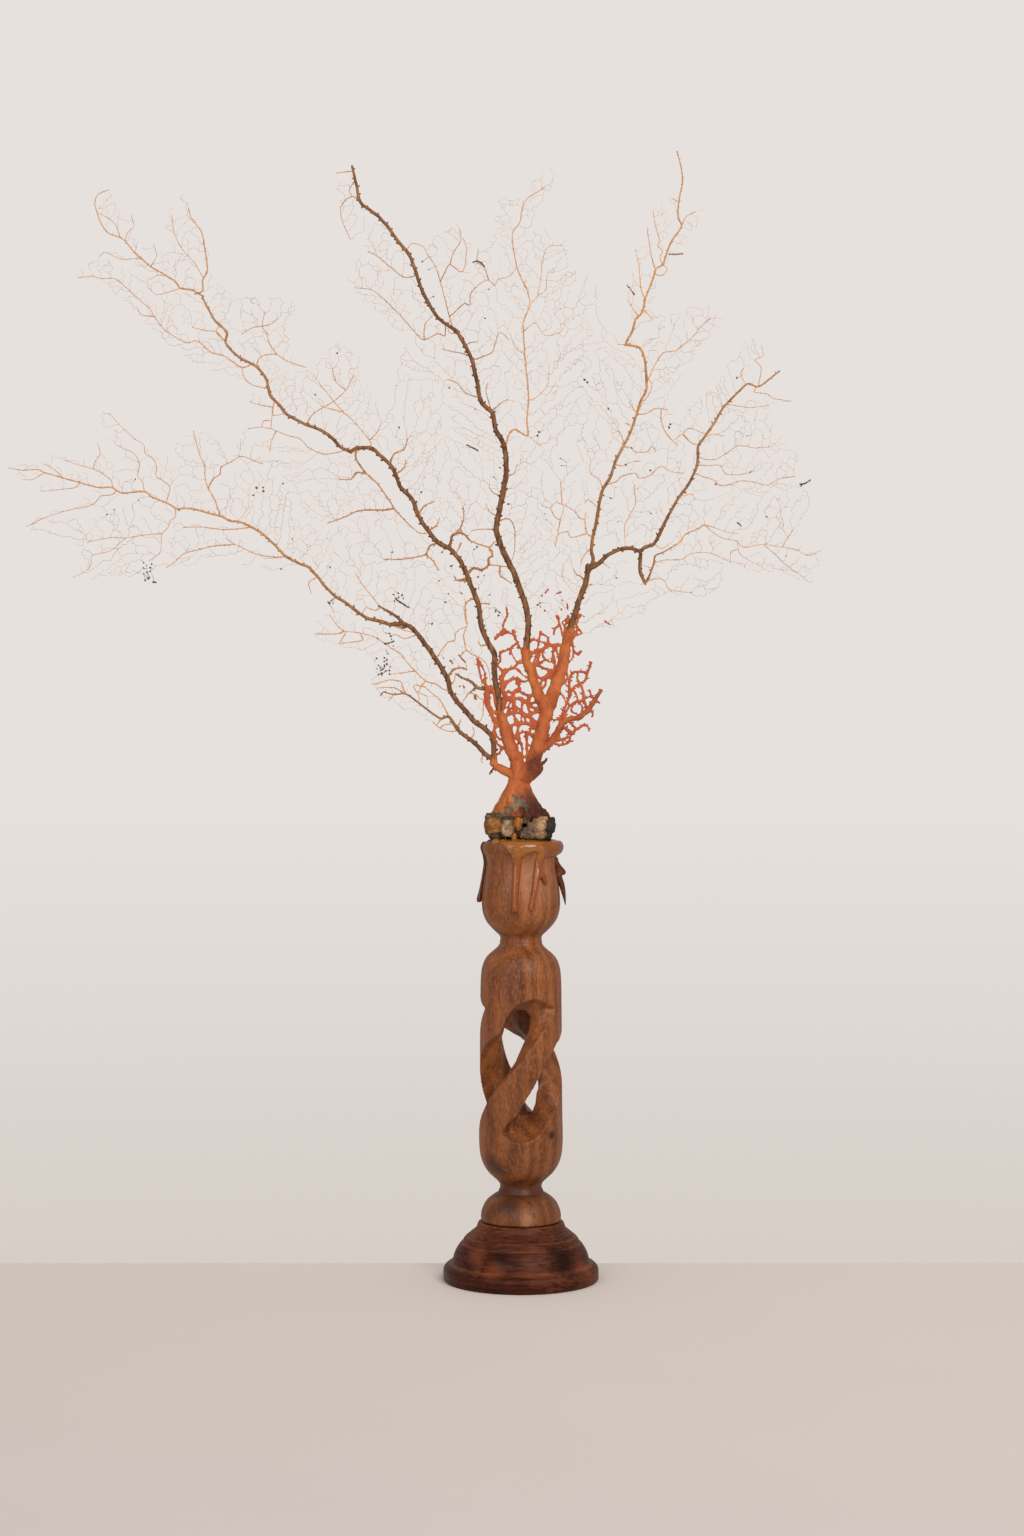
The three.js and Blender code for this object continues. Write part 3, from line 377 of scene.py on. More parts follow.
plinthLook = {
    "dark": rgb(30, 9, 4), "mid": rgb(84, 35, 19), "wornAndHighlight": rgb(138, 78, 48),
    "segments": 160, "profileStep": 1.6,
    # dark and worn patches: centre and reach in metres, strength, colour
    "softPatches": [
        ((0.028, -0.034, 0.018), 0.015, 0.85, darkStain), ((-0.033, -0.03, 0.015), 0.008, 0.6, darkStain),
        ((-0.0145, -0.042, 0.021), 0.007, 0.6, darkStain), ((-0.03, -0.031, 0.022), 0.01, 0.4, wornStain),
        ((-0.018, -0.043, 0.0135), 0.009, 0.35, wornStain), ((0.042, -0.024, 0.0125), 0.009, 0.4, wornStain),
    ],
    # radius and height
    "profile": [
        (0, 0), (51.6, 0), (52.5, 0.5), (53, 1.4), (53, 7.2), (52.6, 8.5), (51.9, 9.6), (50.2, 11.1),
        (48.6, 11.8), (47.3, 12.1), (46.8, 12.9), (46.4, 14.6), (45.8, 17), (44.9, 19.4),
        (43.7, 21.6), (42.1, 24), (41.1, 25.2), (40.5, 25.6), (39.9, 25.5), (39.5, 25.9),
        (39.6, 26.8), (39.1, 27.9), (38, 29.3), (37.3, 29.9), (36.6, 29.7), (36.2, 30.1),
        (35.9, 30.9), (34.6, 32.1), (32.4, 33.8), (30.8, 35.1), (30.2, 36.3), (29.7, 37.8),
        (29.2, 39.1), (28.5, 39.7), (27.6, 39.8), (0, 39.8),
    ],
}

columnLook = {
    "dark": rgb(60, 26, 10), "mid": rgb(128, 68, 32), "light": rgb(182, 110, 56),
    "flecks": rgb(188, 134, 102),
    "segments": 160, "profileStep": 2.2, "voxel": 0.62, "smoothing": 5, "keep": 0.32,
    # dark stains, a painted highlight on the front of the cup and a small pale spot low on the front: centre
    # and reach in metres, strength, colour
    "softPatches": [
        ((-0.021, -0.019, 0.078), 0.011, 0.6, brownStain),
        ((0.0205, -0.0195, 0.101), 0.0035, 0.9, brownStain),
        ((-0.008, -0.022, 0.056), 0.01, 0.55, brownStain),
        # painted highlight: the broad pale patch where the key light catches the front of the cup
        ((0.009, -0.024, 0.272), 0.022, 0.22, rgb(206, 152, 114)),
        ((0.004, -0.027, 0.044), 0.006, 0.35, rgb(196, 146, 110)),
    ],
    # radius and height; the last points are the recess that holds the resin
    "profile": [
        (0, 40.1), (26.6, 40.1), (27.2, 41), (27.4, 44), (26.9, 47), (25.8, 50), (24.5, 52.6),
        (22.5, 55), (20, 57), (17.2, 58.9), (15.6, 59.4), (15.3, 60), (15.3, 61), (14.4, 62.2),
        (14.1, 63.8), (14.4, 65.6), (15.5, 67.2), (17.6, 69.2), (19, 70.4), (21.5, 72.7),
        (23.4, 75.1), (25.1, 77.8), (26.6, 81), (27.7, 85), (28.3, 89.5), (28.6, 95), (28.6, 101),
        (28.3, 112), (28.1, 130), (28, 150), (27.9, 175), (27.7, 195), (27.6, 202), (27.3, 208),
        (26.7, 212.6), (25.3, 217), (23.6, 220), (21.2, 222.6), (18, 225.2), (15.6, 227.4),
        (14.6, 229), (14.3, 229.8), (14.5, 230.8), (14.2, 231.8), (13.9, 232.8), (14.2, 233.8),
        (14.5, 234.6), (15, 235.4), (17.2, 237.2), (20, 240), (22.8, 243.2), (24.4, 245.8),
        (25.6, 248.8), (26.4, 252), (26.8, 256), (26.8, 260), (26.4, 265), (25.7, 270),
        (24.9, 275), (24.1, 280), (23.7, 284.6), (24.1, 287.6), (25.1, 290.4), (26.2, 292.4),
        (26.8, 294.4), (26.8, 296), (26.3, 297.6), (25.3, 298.6), (23.8, 298.8), (22.4, 298.4),
        (22, 297.4), (21.8, 287), (0, 286.9),
    ],
}

openTwist = {
    "windows": 3, "segments": 48,
    # the hollow inside the barrel: radius and height
    "core": [(0, 105), (6, 109), (11, 116), (13.5, 132), (13.5, 181), (6, 187), (0, 189)],
    # radii of a window's sides: in the hollow, at its wall, half way, at the skin, outside, farthest out
    "radii": (9, 13, 21, 28.3, 35, 48),
    # scooped ends: radius at the very end, and how steeply the scoop goes in from there
    "scoop": 28.2, "bottomSlope": 1.15, "topSlope": 2.3,
    # window edges, as angles from the front: height, then left and right edge on the barrel, then
    # left and right edge at the core
    "edges": [
        (96.9, -124, -117, -122, -119), (97.6, -131, -111, -126, -115), (99.2, -139, -103, -130, -110),
        (103, -149, -91, -136, -104), (107, -144, -84, -134, -98), (111, -136, -77, -134, -92),
        (115, -126, -69, -130, -78), (121, -119, -58, -134, -66), (129, -108, -43, -124, -68),
        (136, -99, -28, -117, -52), (143, -90, -15.5, -110, -32), (150, -81, -3.4, -99, -16),
        (157, -70, 8.7, -90, -4), (162, -59, 17, -82, 5), (166, -44, 24, -72, 12),
        (170, -30, 31, -60, 20), (175, -24, 40, -54, 24), (180, -20, 48.5, -48, 25.5),
        (184, -15, 55.5, -34, 20), (186.4, -11.5, 59.6, -24, 14), (187.6, -9, 50, -14, 14),
        (189.6, -3, 42, -6, 16), (192, 6, 34, 6, 18), (193.4, 14, 26, 14, 20),
    ],
}


def plinthWood():
    paint = Paint("stained_plinth_wood")
    bands = paint.grains((16, 16, 420), 4, 0.6)
    fibres = paint.grains((70, 420, 900), 3, 0.6)
    patches = paint.grains((26, 26, 40), 3, 0.5)
    share = paint.ramp(bands * 0.55 + fibres * 0.45, (0.36, 0), (0.66, 1))
    colour = paint.mixed(share, plinthLook["dark"], plinthLook["mid"])
    wear = paint.ramp(patches * 0.7 + fibres * 0.35, (0.52, 0), (0.66, 1))
    colour = paint.mixed(wear * 0.36, colour, plinthLook["wornAndHighlight"])
    # pale bands along the foot and the two ridges, and a lighter neck: part wear, part painted highlight
    # where the edges catch the light
    edges = paint.ramp(paint.height(20), (0, 0), (0.215, 0), (0.24, 1), (0.262, 0), (0.5, 0), (0.512, 1),
                       (0.53, 0.25), (0.585, 0.3), (0.597, 1), (0.615, 0.35), (0.64, 0.5), (0.775, 0.5),
                       (0.79, 1), (0.8, 0.5))
    edgeWearAndHighlight = paint.ramp(fibres * 0.6 + patches * 0.4, (0.36, 0.1), (0.62, 0.8))
    colour = paint.mixed(edges * edgeWearAndHighlight, colour, plinthLook["wornAndHighlight"])
    colour = paint.patched(colour, plinthLook["softPatches"], patches)
    gloss = paint.ramp(patches, (0.3, 0.34), (0.7, 0.52))
    bumps = paint.bump(fibres * 0.6 + bands * 0.4, 0.12, 0.5)
    return paint.surface(Base_Color=colour, Roughness=gloss, Normal=bumps, Coat_Weight=0.02,
                         Coat_Roughness=0.2, Specular_IOR_Level=0.11)


def columnWood():
    paint = Paint("turned_column_wood")
    swirl = paint.grains((30, 30, 13), 3, 0.55)
    blotch = paint.grains((75, 75, 40), 3, 0.6)
    rings = paint.node("TexWave", {"wave_type": "RINGS", "rings_direction": "Z"}, {
        "Vector": paint.node("VectorMath", {"operation": "ADD"},
                             {0: paint.place((1, 1, 0.11)), 1: (0.031, 0.052, 0)}),
        "Scale": 34.0, "Distortion": 7.0, "Detail": 4.0, "Detail Scale": 1.3,
        "Detail Roughness": 0.6}, 1)
    fibres = paint.grains((820, 820, 26), 4, 0.65)
    pores = paint.ramp(paint.grains((1500, 1500, 90), 2, 0.5), (0.56, 0), (0.68, 1))
    share = paint.ramp(rings * 0.16 + swirl * 0.5 + fibres * 0.3 + blotch * 0.36, (0.46, 0), (0.88, 1))
    colour = paint.mixed(share, columnLook["dark"], columnLook["light"])
    colour = paint.mixed(0.35, colour, columnLook["mid"])
    colour = paint.mixed(pores * 0.55, colour, columnLook["dark"])
    flecks = paint.ramp(paint.grains((760, 760, 300), 2, 0.6), (0.48, 0), (0.62, 1))
    colour = paint.mixed(flecks * 0.2, colour, columnLook["flecks"])
    # painted shade, not a colour of the wood: darker on the dome and in the groove above it
    shade = paint.ramp(paint.height(3.3), (0.13, 0.3), (0.185, 0.36), (0.2, 0.8), (0.215, 0.6), (0.24, 0.1),
                       (0.7, 0))
    colour = paint.mixed(shade, colour, columnLook["dark"])
    # dark stains, and the painted highlight on the front of the cup
    colour = paint.patched(colour, columnLook["softPatches"], swirl * 0.6 + pores * 0.5)
    gloss = paint.ramp(swirl, (0.3, 0.36), (0.7, 0.5))
    bumps = paint.bump(fibres * 0.5 - pores * 0.8, 0.14, 0.5)
    return paint.surface(Base_Color=colour, Roughness=gloss, Normal=bumps, Coat_Weight=0.04,
                         Coat_Roughness=0.34, Specular_IOR_Level=0.26)


def windowCutter(startAngle):
    # A leaf-shaped body that winds down the barrel and is scooped at both ends
    edges, scoop = openTwist["edges"], openTwist["scoop"]
    hollow, coreWall, halfWay, skin, outside, farthest = openTwist["radii"]
    rings = []
    for z, left, right, leftCore, rightCore in edges:
        inner = max(hollow, scoop - openTwist["bottomSlope"] * (z - edges[0][0]),
                    scoop - openTwist["topSlope"] * (edges[-1][0] - z))
        wall = [(leftCore, hollow), (leftCore, coreWall), (0.55 * leftCore + 0.45 * left, halfWay),
                (left, skin), (left, outside), (0.5 * (left + right), farthest), (right, outside),
                (right, skin), (0.55 * rightCore + 0.45 * right, halfWay), (rightCore, coreWall),
                (rightCore, hollow)]
        ring = []
        for i, (angle, radius) in enumerate(wall):
            r = max(radius, inner + 0.02 * min(i, len(wall) - 1 - i))  # no two points in one place
            turn = math.radians(startAngle + angle)
            ring.append((r * math.sin(turn), -r * math.cos(turn), z))
        rings.append(ring)
    shell = Shell()
    shell.loft(rings)
    return shell.build("window_cutter")


def carvedColumn():
    profile = finer(columnLook["profile"], columnLook["profileStep"])
    blank = turnedShell(profile, columnLook["segments"]).build("column_turned")
    cutters = [turnedShell(openTwist["core"], openTwist["segments"]).build("core_cutter")]
    cutters += [windowCutter(360 / openTwist["windows"] * i) for i in range(openTwist["windows"])]
    for cutter in cutters:
        applied(blank, "BOOLEAN", operation="DIFFERENCE", solver="EXACT", object=cutter)
        bpy.data.objects.remove(cutter)
    remeshed(blank, columnLook["voxel"], columnLook["smoothing"])
    applied(blank, "DECIMATE", ratio=columnLook["keep"])
    return blank


plinthShell = turnedShell(finer(plinthLook["profile"], plinthLook["profileStep"]), plinthLook["segments"])
installed(plinthShell.build("plinth_turned"), plinthWood(), "plinth_wood", "plinth")
print("plinth turned")
columnPiece = installed(carvedColumn(), columnWood(), "column_wood", "column")
print("column carved:", len(columnPiece.data.polygons), "faces")


# Amber resin that fills the cup and runs over its rim

resinLook = {
    # dark is the colour of the painted shade along the sides
    "golden": rgb(200, 126, 46), "brown": rgb(188, 100, 28), "dark": rgb(104, 46, 14),
    "absorb": (0.95, 0.6, 0.2, 1), "density": 150.0, "voxel": 0.45, "smoothing": 4,
    # where the cup begins on the column's profile: radius and height
    "cupFrom": (23.6, 240),
    # the mass in the recess: radius and height
    "fill": [(6, 289), (21.4, 288), (22.2, 292), (21.9, 297.6), (22.6, 299.2), (21, 300.2), (15, 300.9),
             (4, 301.2)], "fillSides": 72,
    # the thin bead all round the lip
    "lipRadius": 23.2, "lipHeight": 298.9, "lipBeads": 120,
    # runs: beads of [angle from the front, height, radius, stand-off from the wood]
    "runs": [
        [(-80, 298.6, 1.2, 0), (-84, 295, 1.2, 0), (-88, 290, 1.2, 0.3), (-88, 284, 1.2, 0.7),
         (-88, 276, 1.2, 0.8), (-88, 269, 1.2, 1), (-88, 265, 1.3, 1.2), (-88, 261.5, 1.7, 1.5),
         (-88, 259, 1.9, 1.7), (-88, 257.4, 1.3, 1.7)],
        [(-5, 296, 4, -0.6), (-6, 291.6, 4.3, -0.9), (-6.6, 288, 3.8, -0.8), (-7, 284, 3.4, -0.6),
         (-7.5, 278, 3, -0.3), (-8, 270, 2.6, 0.1), (-8.5, 263, 2.2, 0.6), (-8.5, 258, 2.1, 0.9),
         (-8.5, 255.4, 2.4, 1), (-8.5, 253.6, 2.2, 1), (-8.5, 252.2, 1.4, 0.9)],
        [(34, 296, 3.2, -0.4), (33, 291, 3.4, -0.4), (30, 286, 3.3, -0.4), (28, 281, 3, -0.1),
         (25, 276.6, 2.8, 0.2), (22, 271, 2.3, 0.5), (19.6, 265, 2, 0.7), (16.6, 259.6, 1.9, 0.8),
         (15, 256.4, 2.1, 0.9), (14.6, 254.4, 2.3, 0.9), (14.6, 253, 1.5, 0.8)],
        [(30.6, 280, 1.9, 0.8), (33, 277.6, 1.9, 1.2), (36, 274.6, 1.8, 1.4), (38.5, 272.2, 1.7, 1.4),
         (40, 270.6, 1.2, 1.2)],
        [(80, 288, 1.6, -0.2), (82, 284.6, 1.7, 0.8), (84, 281.6, 2, 2), (86, 279, 2.3, 3.4),
         (87, 277.4, 2.2, 4.3), (87.5, 276.2, 1.3, 4.6)],
        [(84, 281, 1.7, 0.6), (86, 275, 2, 1.2), (88, 270, 2.1, 1.9), (88, 266, 1.8, 2.4),
         (88, 262, 1.3, 2.8), (88, 258.6, 0.8, 3.2), (88, 255.4, 0.4, 3.7)],
        [(160, 298.2, 2.4, 0.2), (163, 294, 2, 0.6), (165, 288, 1.6, 0.8), (165, 283, 1.5, 0.9),
         (165, 280.8, 1.6, 1), (165, 279.6, 1, 0.9)],
    ],
    # apron: lower edge of the skin over the rim, as [angle, height, stand-off]; from there each strand
    # rises to the top and ends inside the rim, at a height and a change of stand-off, with these radii
    "apron": [(-33, 298.8, -0.7), (-25, 296.4, 0), (-18, 293.3, 0.2), (-13, 290.8, 0.3), (-6, 288.4, 0.4),
              (1.5, 289.2, 0.3), (8, 291.6, 0.1), (14.5, 292.6, 0), (22, 293, 0), (28, 291.6, 0.1),
              (34, 288.8, 0.2), (44, 288.4, 0.2), (56, 289.4, 0.4), (68, 289.8, 1), (80, 291, 1.4),
              (92, 293.4, 1.2), (108, 296.6, 0.2)],
    "apronTop": 298.4, "apronEnd": (298.8, -2.6), "apronRadii": [0.9, 1.2, 1.25, 1.25, 1.2, 1.1],
    # mounds of resin that stand above the rim: x, y, z, radius
    "mounds": [(-17, -14.6, 299.4, 3.2), (-12, -17.4, 299.4, 2.6), (-3.4, -18.4, 299.8, 2.4),
               (1.4, -18.6, 299.6, 2.2), (20.6, -7, 298.8, 3), (-20.6, -6, 299, 2.6)],
}


def cupRadius(z):
    least, foot = resinLook["cupFrom"]
    outline = [(r, height) for r, height in columnLook["profile"] if foot < height and r > least]
    for (r0, z0), (r1, z1) in zip(outline, outline[1:]):
        if z0 <= z <= z1:
            return r0 + (r1 - r0) * (z - z0) / max(z1 - z0, 1e-6)
    return outline[-1][0]


def onCup(angle, z, off):
    turn = math.radians(angle)
    reach = cupRadius(z) + off
    return Vector((reach * math.sin(turn), -reach * math.cos(turn), z))


def amberResin():
    # Golden where it lies on the rim, brown in the runs, and darker along the sides as painted shade
    paint = Paint("clear_amber_resin")
    brown, dark = paint.tones(2)
    ripple = paint.grains((240, 240, 120), 2, 0.5)
    cloud = paint.grains((190, 190, 260), 3, 0.6)
    runs = paint.ramp(brown + cloud * 0.8 - 0.4, (0.1, 0), (0.9, 1))
    # painted shade: the sides that face away from the front are darker
    sides = paint.ramp(dark + cloud * 0.6 - 0.3, (0.1, 0), (0.9, 1))
    colour = paint.mixed(runs, resinLook["golden"], resinLook["brown"])
    colour = paint.mixed(sides, colour, resinLook["dark"])
    depth = paint.node("VolumeAbsorption", {}, {"Color": resinLook["absorb"],
                                                "Density": resinLook["density"]})
    return paint.surface(volume=depth, Base_Color=colour, Roughness=0.12, IOR=1.54, Transmission_Weight=0.5,
                         Coat_Weight=0.12, Coat_Roughness=0.05, Specular_IOR_Level=0.36,
                         Normal=paint.bump(ripple, 0.3, 0.35))


def resinTone(at):
    # brown share, and dark share: painted shade on the sides, and a little darkening inside the rim and on
    # the right
    angle = math.degrees(math.atan2(at.x, -at.y))
    fleck = noise.noise(at / 2.4)
    low = held((291 - at.z + 2 * fleck) / 7)  # the runs below the rim
    side = held((abs(angle - 12) - 56 + 14 * fleck) / 14)  # all that faces away from the front, darkened as painted shade
    inner = held((24 - math.hypot(at.x, at.y)) / 4) * held((angle + 60) / 30)  # inside the rim
    brown = max(low, 0.4 * held((angle - 20) / 12))
    return brown, max(side * 0.9, 0.3 * inner, 0.3 * held((angle - 26) / 9)), 0


def pouredResin():
    shell = Shell()
    turns = [2 * math.pi * k / resinLook["fillSides"] for k in range(resinLook["fillSides"])]
    shell.loft([[(r * math.cos(t), r * math.sin(t), z) for t in turns] for r, z in resinLook["fill"]])
    lip, swells = [], []
    reach = resinLook["lipRadius"]
    for k in range(resinLook["lipBeads"] + 1):
        turn = 2 * math.pi * k / resinLook["lipBeads"]
        lip.append(Vector((reach * math.sin(turn), -reach * math.cos(turn), resinLook["lipHeight"])))
        swells.append(0.85 + 0.3 * math.sin(turn - 0.5) + 0.2 * math.sin(5 * turn)
                      + 0.12 * math.sin(11 * turn + 1))
    shell.loft(ringsAlong(lip, swells, 10))
    edge, top, (endHeight, endOff) = resinLook["apron"], resinLook["apronTop"], resinLook["apronEnd"]
    for first, second in zip(edge, edge[1:]):
        for k in range(5):
            angle, low, off = lerped(first, second, k / 5)
            rise = [low + (top - low) * i / 4 for i in range(5)]
            line = [onCup(angle, z, off) for z in rise] + [onCup(angle, endHeight, off + endOff)]
            shell.loft(ringsAlong(line, resinLook["apronRadii"], 7))
    for x, y, z, r in resinLook["mounds"]:
        line = [Vector((x, y, z + r * share)) for share in (-0.9, -0.5, 0, 0.4, 0.62)]
        shell.loft(ringsAlong(line, [r, r * 1.2, r * 1.1, r * 0.75, r * 0.3], 14))
    for run in resinLook["runs"]:
        shell.loft(beadsAlong([(*onCup(angle, z, off), r) for angle, z, r, off in run], 0.8, 12))
    piece = shell.build("amber_resin_pour")
    remeshed(piece, resinLook["voxel"], resinLook["smoothing"])
    toneRepainted(piece, resinTone)
    return piece


resinPiece = installed(pouredResin(), amberResin(), "amber_resin", "resin")
print("resin poured:", len(resinPiece.data.polygons), "faces")


# Small stones gripped by the holdfast

stoneLook = {
    # colours between which each kind of stone is mottled
    "plain": (rgb(74, 66, 52), rgb(122, 110, 88)), "ochre": (rgb(104, 58, 18), rgb(190, 122, 42)),
    "pale": (rgb(118, 94, 66), rgb(208, 166, 130)), "specks": rgb(62, 46, 30), "dark": rgb(38, 27, 20),
    "voxel": 0.5, "floor": 300.2,
    # stones: centre, half sizes, squareness, tone (ochre, pale, dark)
    "stones": [
        ((-18.2, -7, 309.4), (7.2, 9, 7), 0.45, (1, 0, 0.2)),
        ((-16.4, -8, 303.4), (6.4, 8, 3.6), 0.3, (0.6, 0.1, 0.6)),
        ((-19.6, -5, 315.6), (5.4, 7.4, 3.2), 0.3, (0.3, 0.4, 0.5)),
        ((-13.2, -10.4, 316.6), (4.8, 5.2, 3), 0.2, (0.1, 0.6, 0.45)),
        ((-9.2, -14, 308.4), (4.5, 4.8, 7), 0.85, (0.08, 0.66, 0.15)),
        ((-9.6, -13, 314.4), (4, 4, 2.2), 0.4, (0.1, 0.2, 0.7)),
        ((-1.9, -13.8, 312), (3, 3.9, 5), 0.1, (1, 0, 0)),
        ((3.2, -13.6, 313.6), (2.7, 3.1, 2.9), 0.2, (0.45, 0.1, 0.55)),
        ((0.2, -12.4, 304.4), (4.6, 4.4, 4.2), 0.3, (0.2, 0, 1)),
        ((-4.8, -15, 302.4), (1.9, 2.6, 2.6), 0.2, (0.9, 0.1, 0.1)),
        ((0.6, -15.6, 303.6), (1.4, 2, 2.6), 0.2, (0.85, 0.1, 0.35)),
        ((5, -15.2, 304.6), (4.4, 4.6, 4.9), 0.3, (0.08, 0.35, 0.45)),
        ((7.6, -14, 309.6), (3.8, 5, 3), 0.4, (0.2, 0.75, 0.2)),
        ((12.2, -13, 310.4), (5.6, 6, 5), 0.55, (0.25, 1, 0)),
        ((14.8, -11, 314), (3.4, 5, 2.6), 0.4, (0.35, 0.9, 0)),
        ((12.6, -15.4, 303.6), (4.8, 4.2, 3.8), 0.25, (0.3, 0.7, 0.3)),
        ((18.8, -8.6, 309.4), (5, 7.2, 5.8), 0.3, (0, 0.1, 1)),
        ((17.4, -9, 303), (4, 5.2, 3.8), 0.2, (0, 0.15, 0.95)),
        ((21.2, -6.4, 313.6), (2.4, 4.6, 2.2), 0.35, (0, 0.15, 1)),
        ((15.4, 5, 306.6), (6.4, 7, 6.6), 0.4, (0.3, 0.6, 0.3)),
        ((-17, 6.4, 307), (7, 7, 7), 0.4, (0.8, 0.3, 0.2)),
        ((4.4, 12.6, 307), (8, 7, 7), 0.5, (0.25, 0.7, 0.3)),
        ((-7, 13.2, 305.8), (6.4, 6, 5.8), 0.4, (0.6, 0.5, 0.2)),
        ((0, 0, 306), (17, 14, 6), 0.1, (0.3, 0.3, 0.7)),
    ],
}


def stoneTone(at):
    # The tone of the nearest stone, darker in the gaps between the stones
    best, found = 1e9, None
    for centre, half, _, tone in stoneLook["stones"]:
        gap = math.hypot(*((at[i] - centre[i]) / half[i] for i in range(3)))
        if gap < best:
            best, found = gap, tone
    shadow = 0.26 * held(1 - abs(noise.noise(at / 3.1)) * 4) + 0.45 * held((best - 1.05) * 6)
    return found[0], found[1], min(1, found[2] + shadow)


def mottledStone():
    paint = Paint("mottled_small_stones")
    ochre, pale, dark = paint.tones(3)
    patch = paint.grains((150, 150, 150), 4, 0.6)
    fine = paint.grains((900, 900, 900), 3, 0.6)
    specks = paint.ramp(paint.grains((420, 420, 420), 2, 0.5), (0.56, 0), (0.66, 1))
    base = paint.mixed(paint.ramp(patch, (0.4, 0), (0.62, 1)), *stoneLook["plain"])
    warm = paint.mixed(paint.ramp(patch + fine * 0.3, (0.5, 0), (0.85, 1)), *stoneLook["ochre"])
    light = paint.mixed(paint.ramp(patch, (0.42, 0), (0.6, 1)), *stoneLook["pale"])
    colour = paint.mixed(ochre, paint.mixed(pale, base, light), warm)
    colour = paint.mixed(specks * 0.6, colour, stoneLook["specks"])
    shade = paint.ramp(dark + patch * 0.5 - 0.25, (0.3, 0), (0.8, 1))
    colour = paint.mixed(shade, colour, stoneLook["dark"])
    bumps = paint.bump(fine * 0.6 + patch, 0.5, 0.8)
    return paint.surface(Base_Color=colour, Roughness=paint.ramp(patch, (0.3, 0.6), (0.7, 0.95)),
                         Normal=bumps)


def stoneCluster():
    shell = Shell()
    grid = bmesh.new()
    bmesh.ops.create_icosphere(grid, subdivisions=4, radius=1)
    corners = [v.co.copy() for v in grid.verts]
    faces = [tuple(v.index for v in f.verts) for f in grid.faces]
    grid.free()
    for number, (centre, half, square, tone) in enumerate(stoneLook["stones"]):
        points = []
        drift = Vector((number * 7.3, number * 3.1, number * 5.7))  # a part of the noise for each stone
        for corner in corners:
            flat = corner / max(abs(v) for v in corner)
            shape = corner.lerp(flat * 0.86, square)
            rough = 1 + 0.16 * noise.noise(corner * 1.4 + drift) + 0.07 * noise.noise(corner * 4 + drift)
            points.append(tuple(centre[i] + shape[i] * half[i] * rough for i in range(3)))
        shell.add([(x, y, max(z, stoneLook["floor"])) for x, y, z in points], faces, tone)
    piece = shell.build("stone_cluster")
    remeshed(piece, stoneLook["voxel"], 0)
    pushed(piece, lambda at: 0.5 * noise.noise(at / 2.6) + 0.25 * noise.noise(at / 1.1) - 0.15)
    toneRepainted(piece, stoneTone)
    return piece


pebble = mottledStone()
stonePiece = installed(stoneCluster(), pebble, "stone", "rock")
print("stones laid:", len(stonePiece.data.polygons), "faces")


# Routes of the fan as x,z points in millimetres, read along each stem from its foot

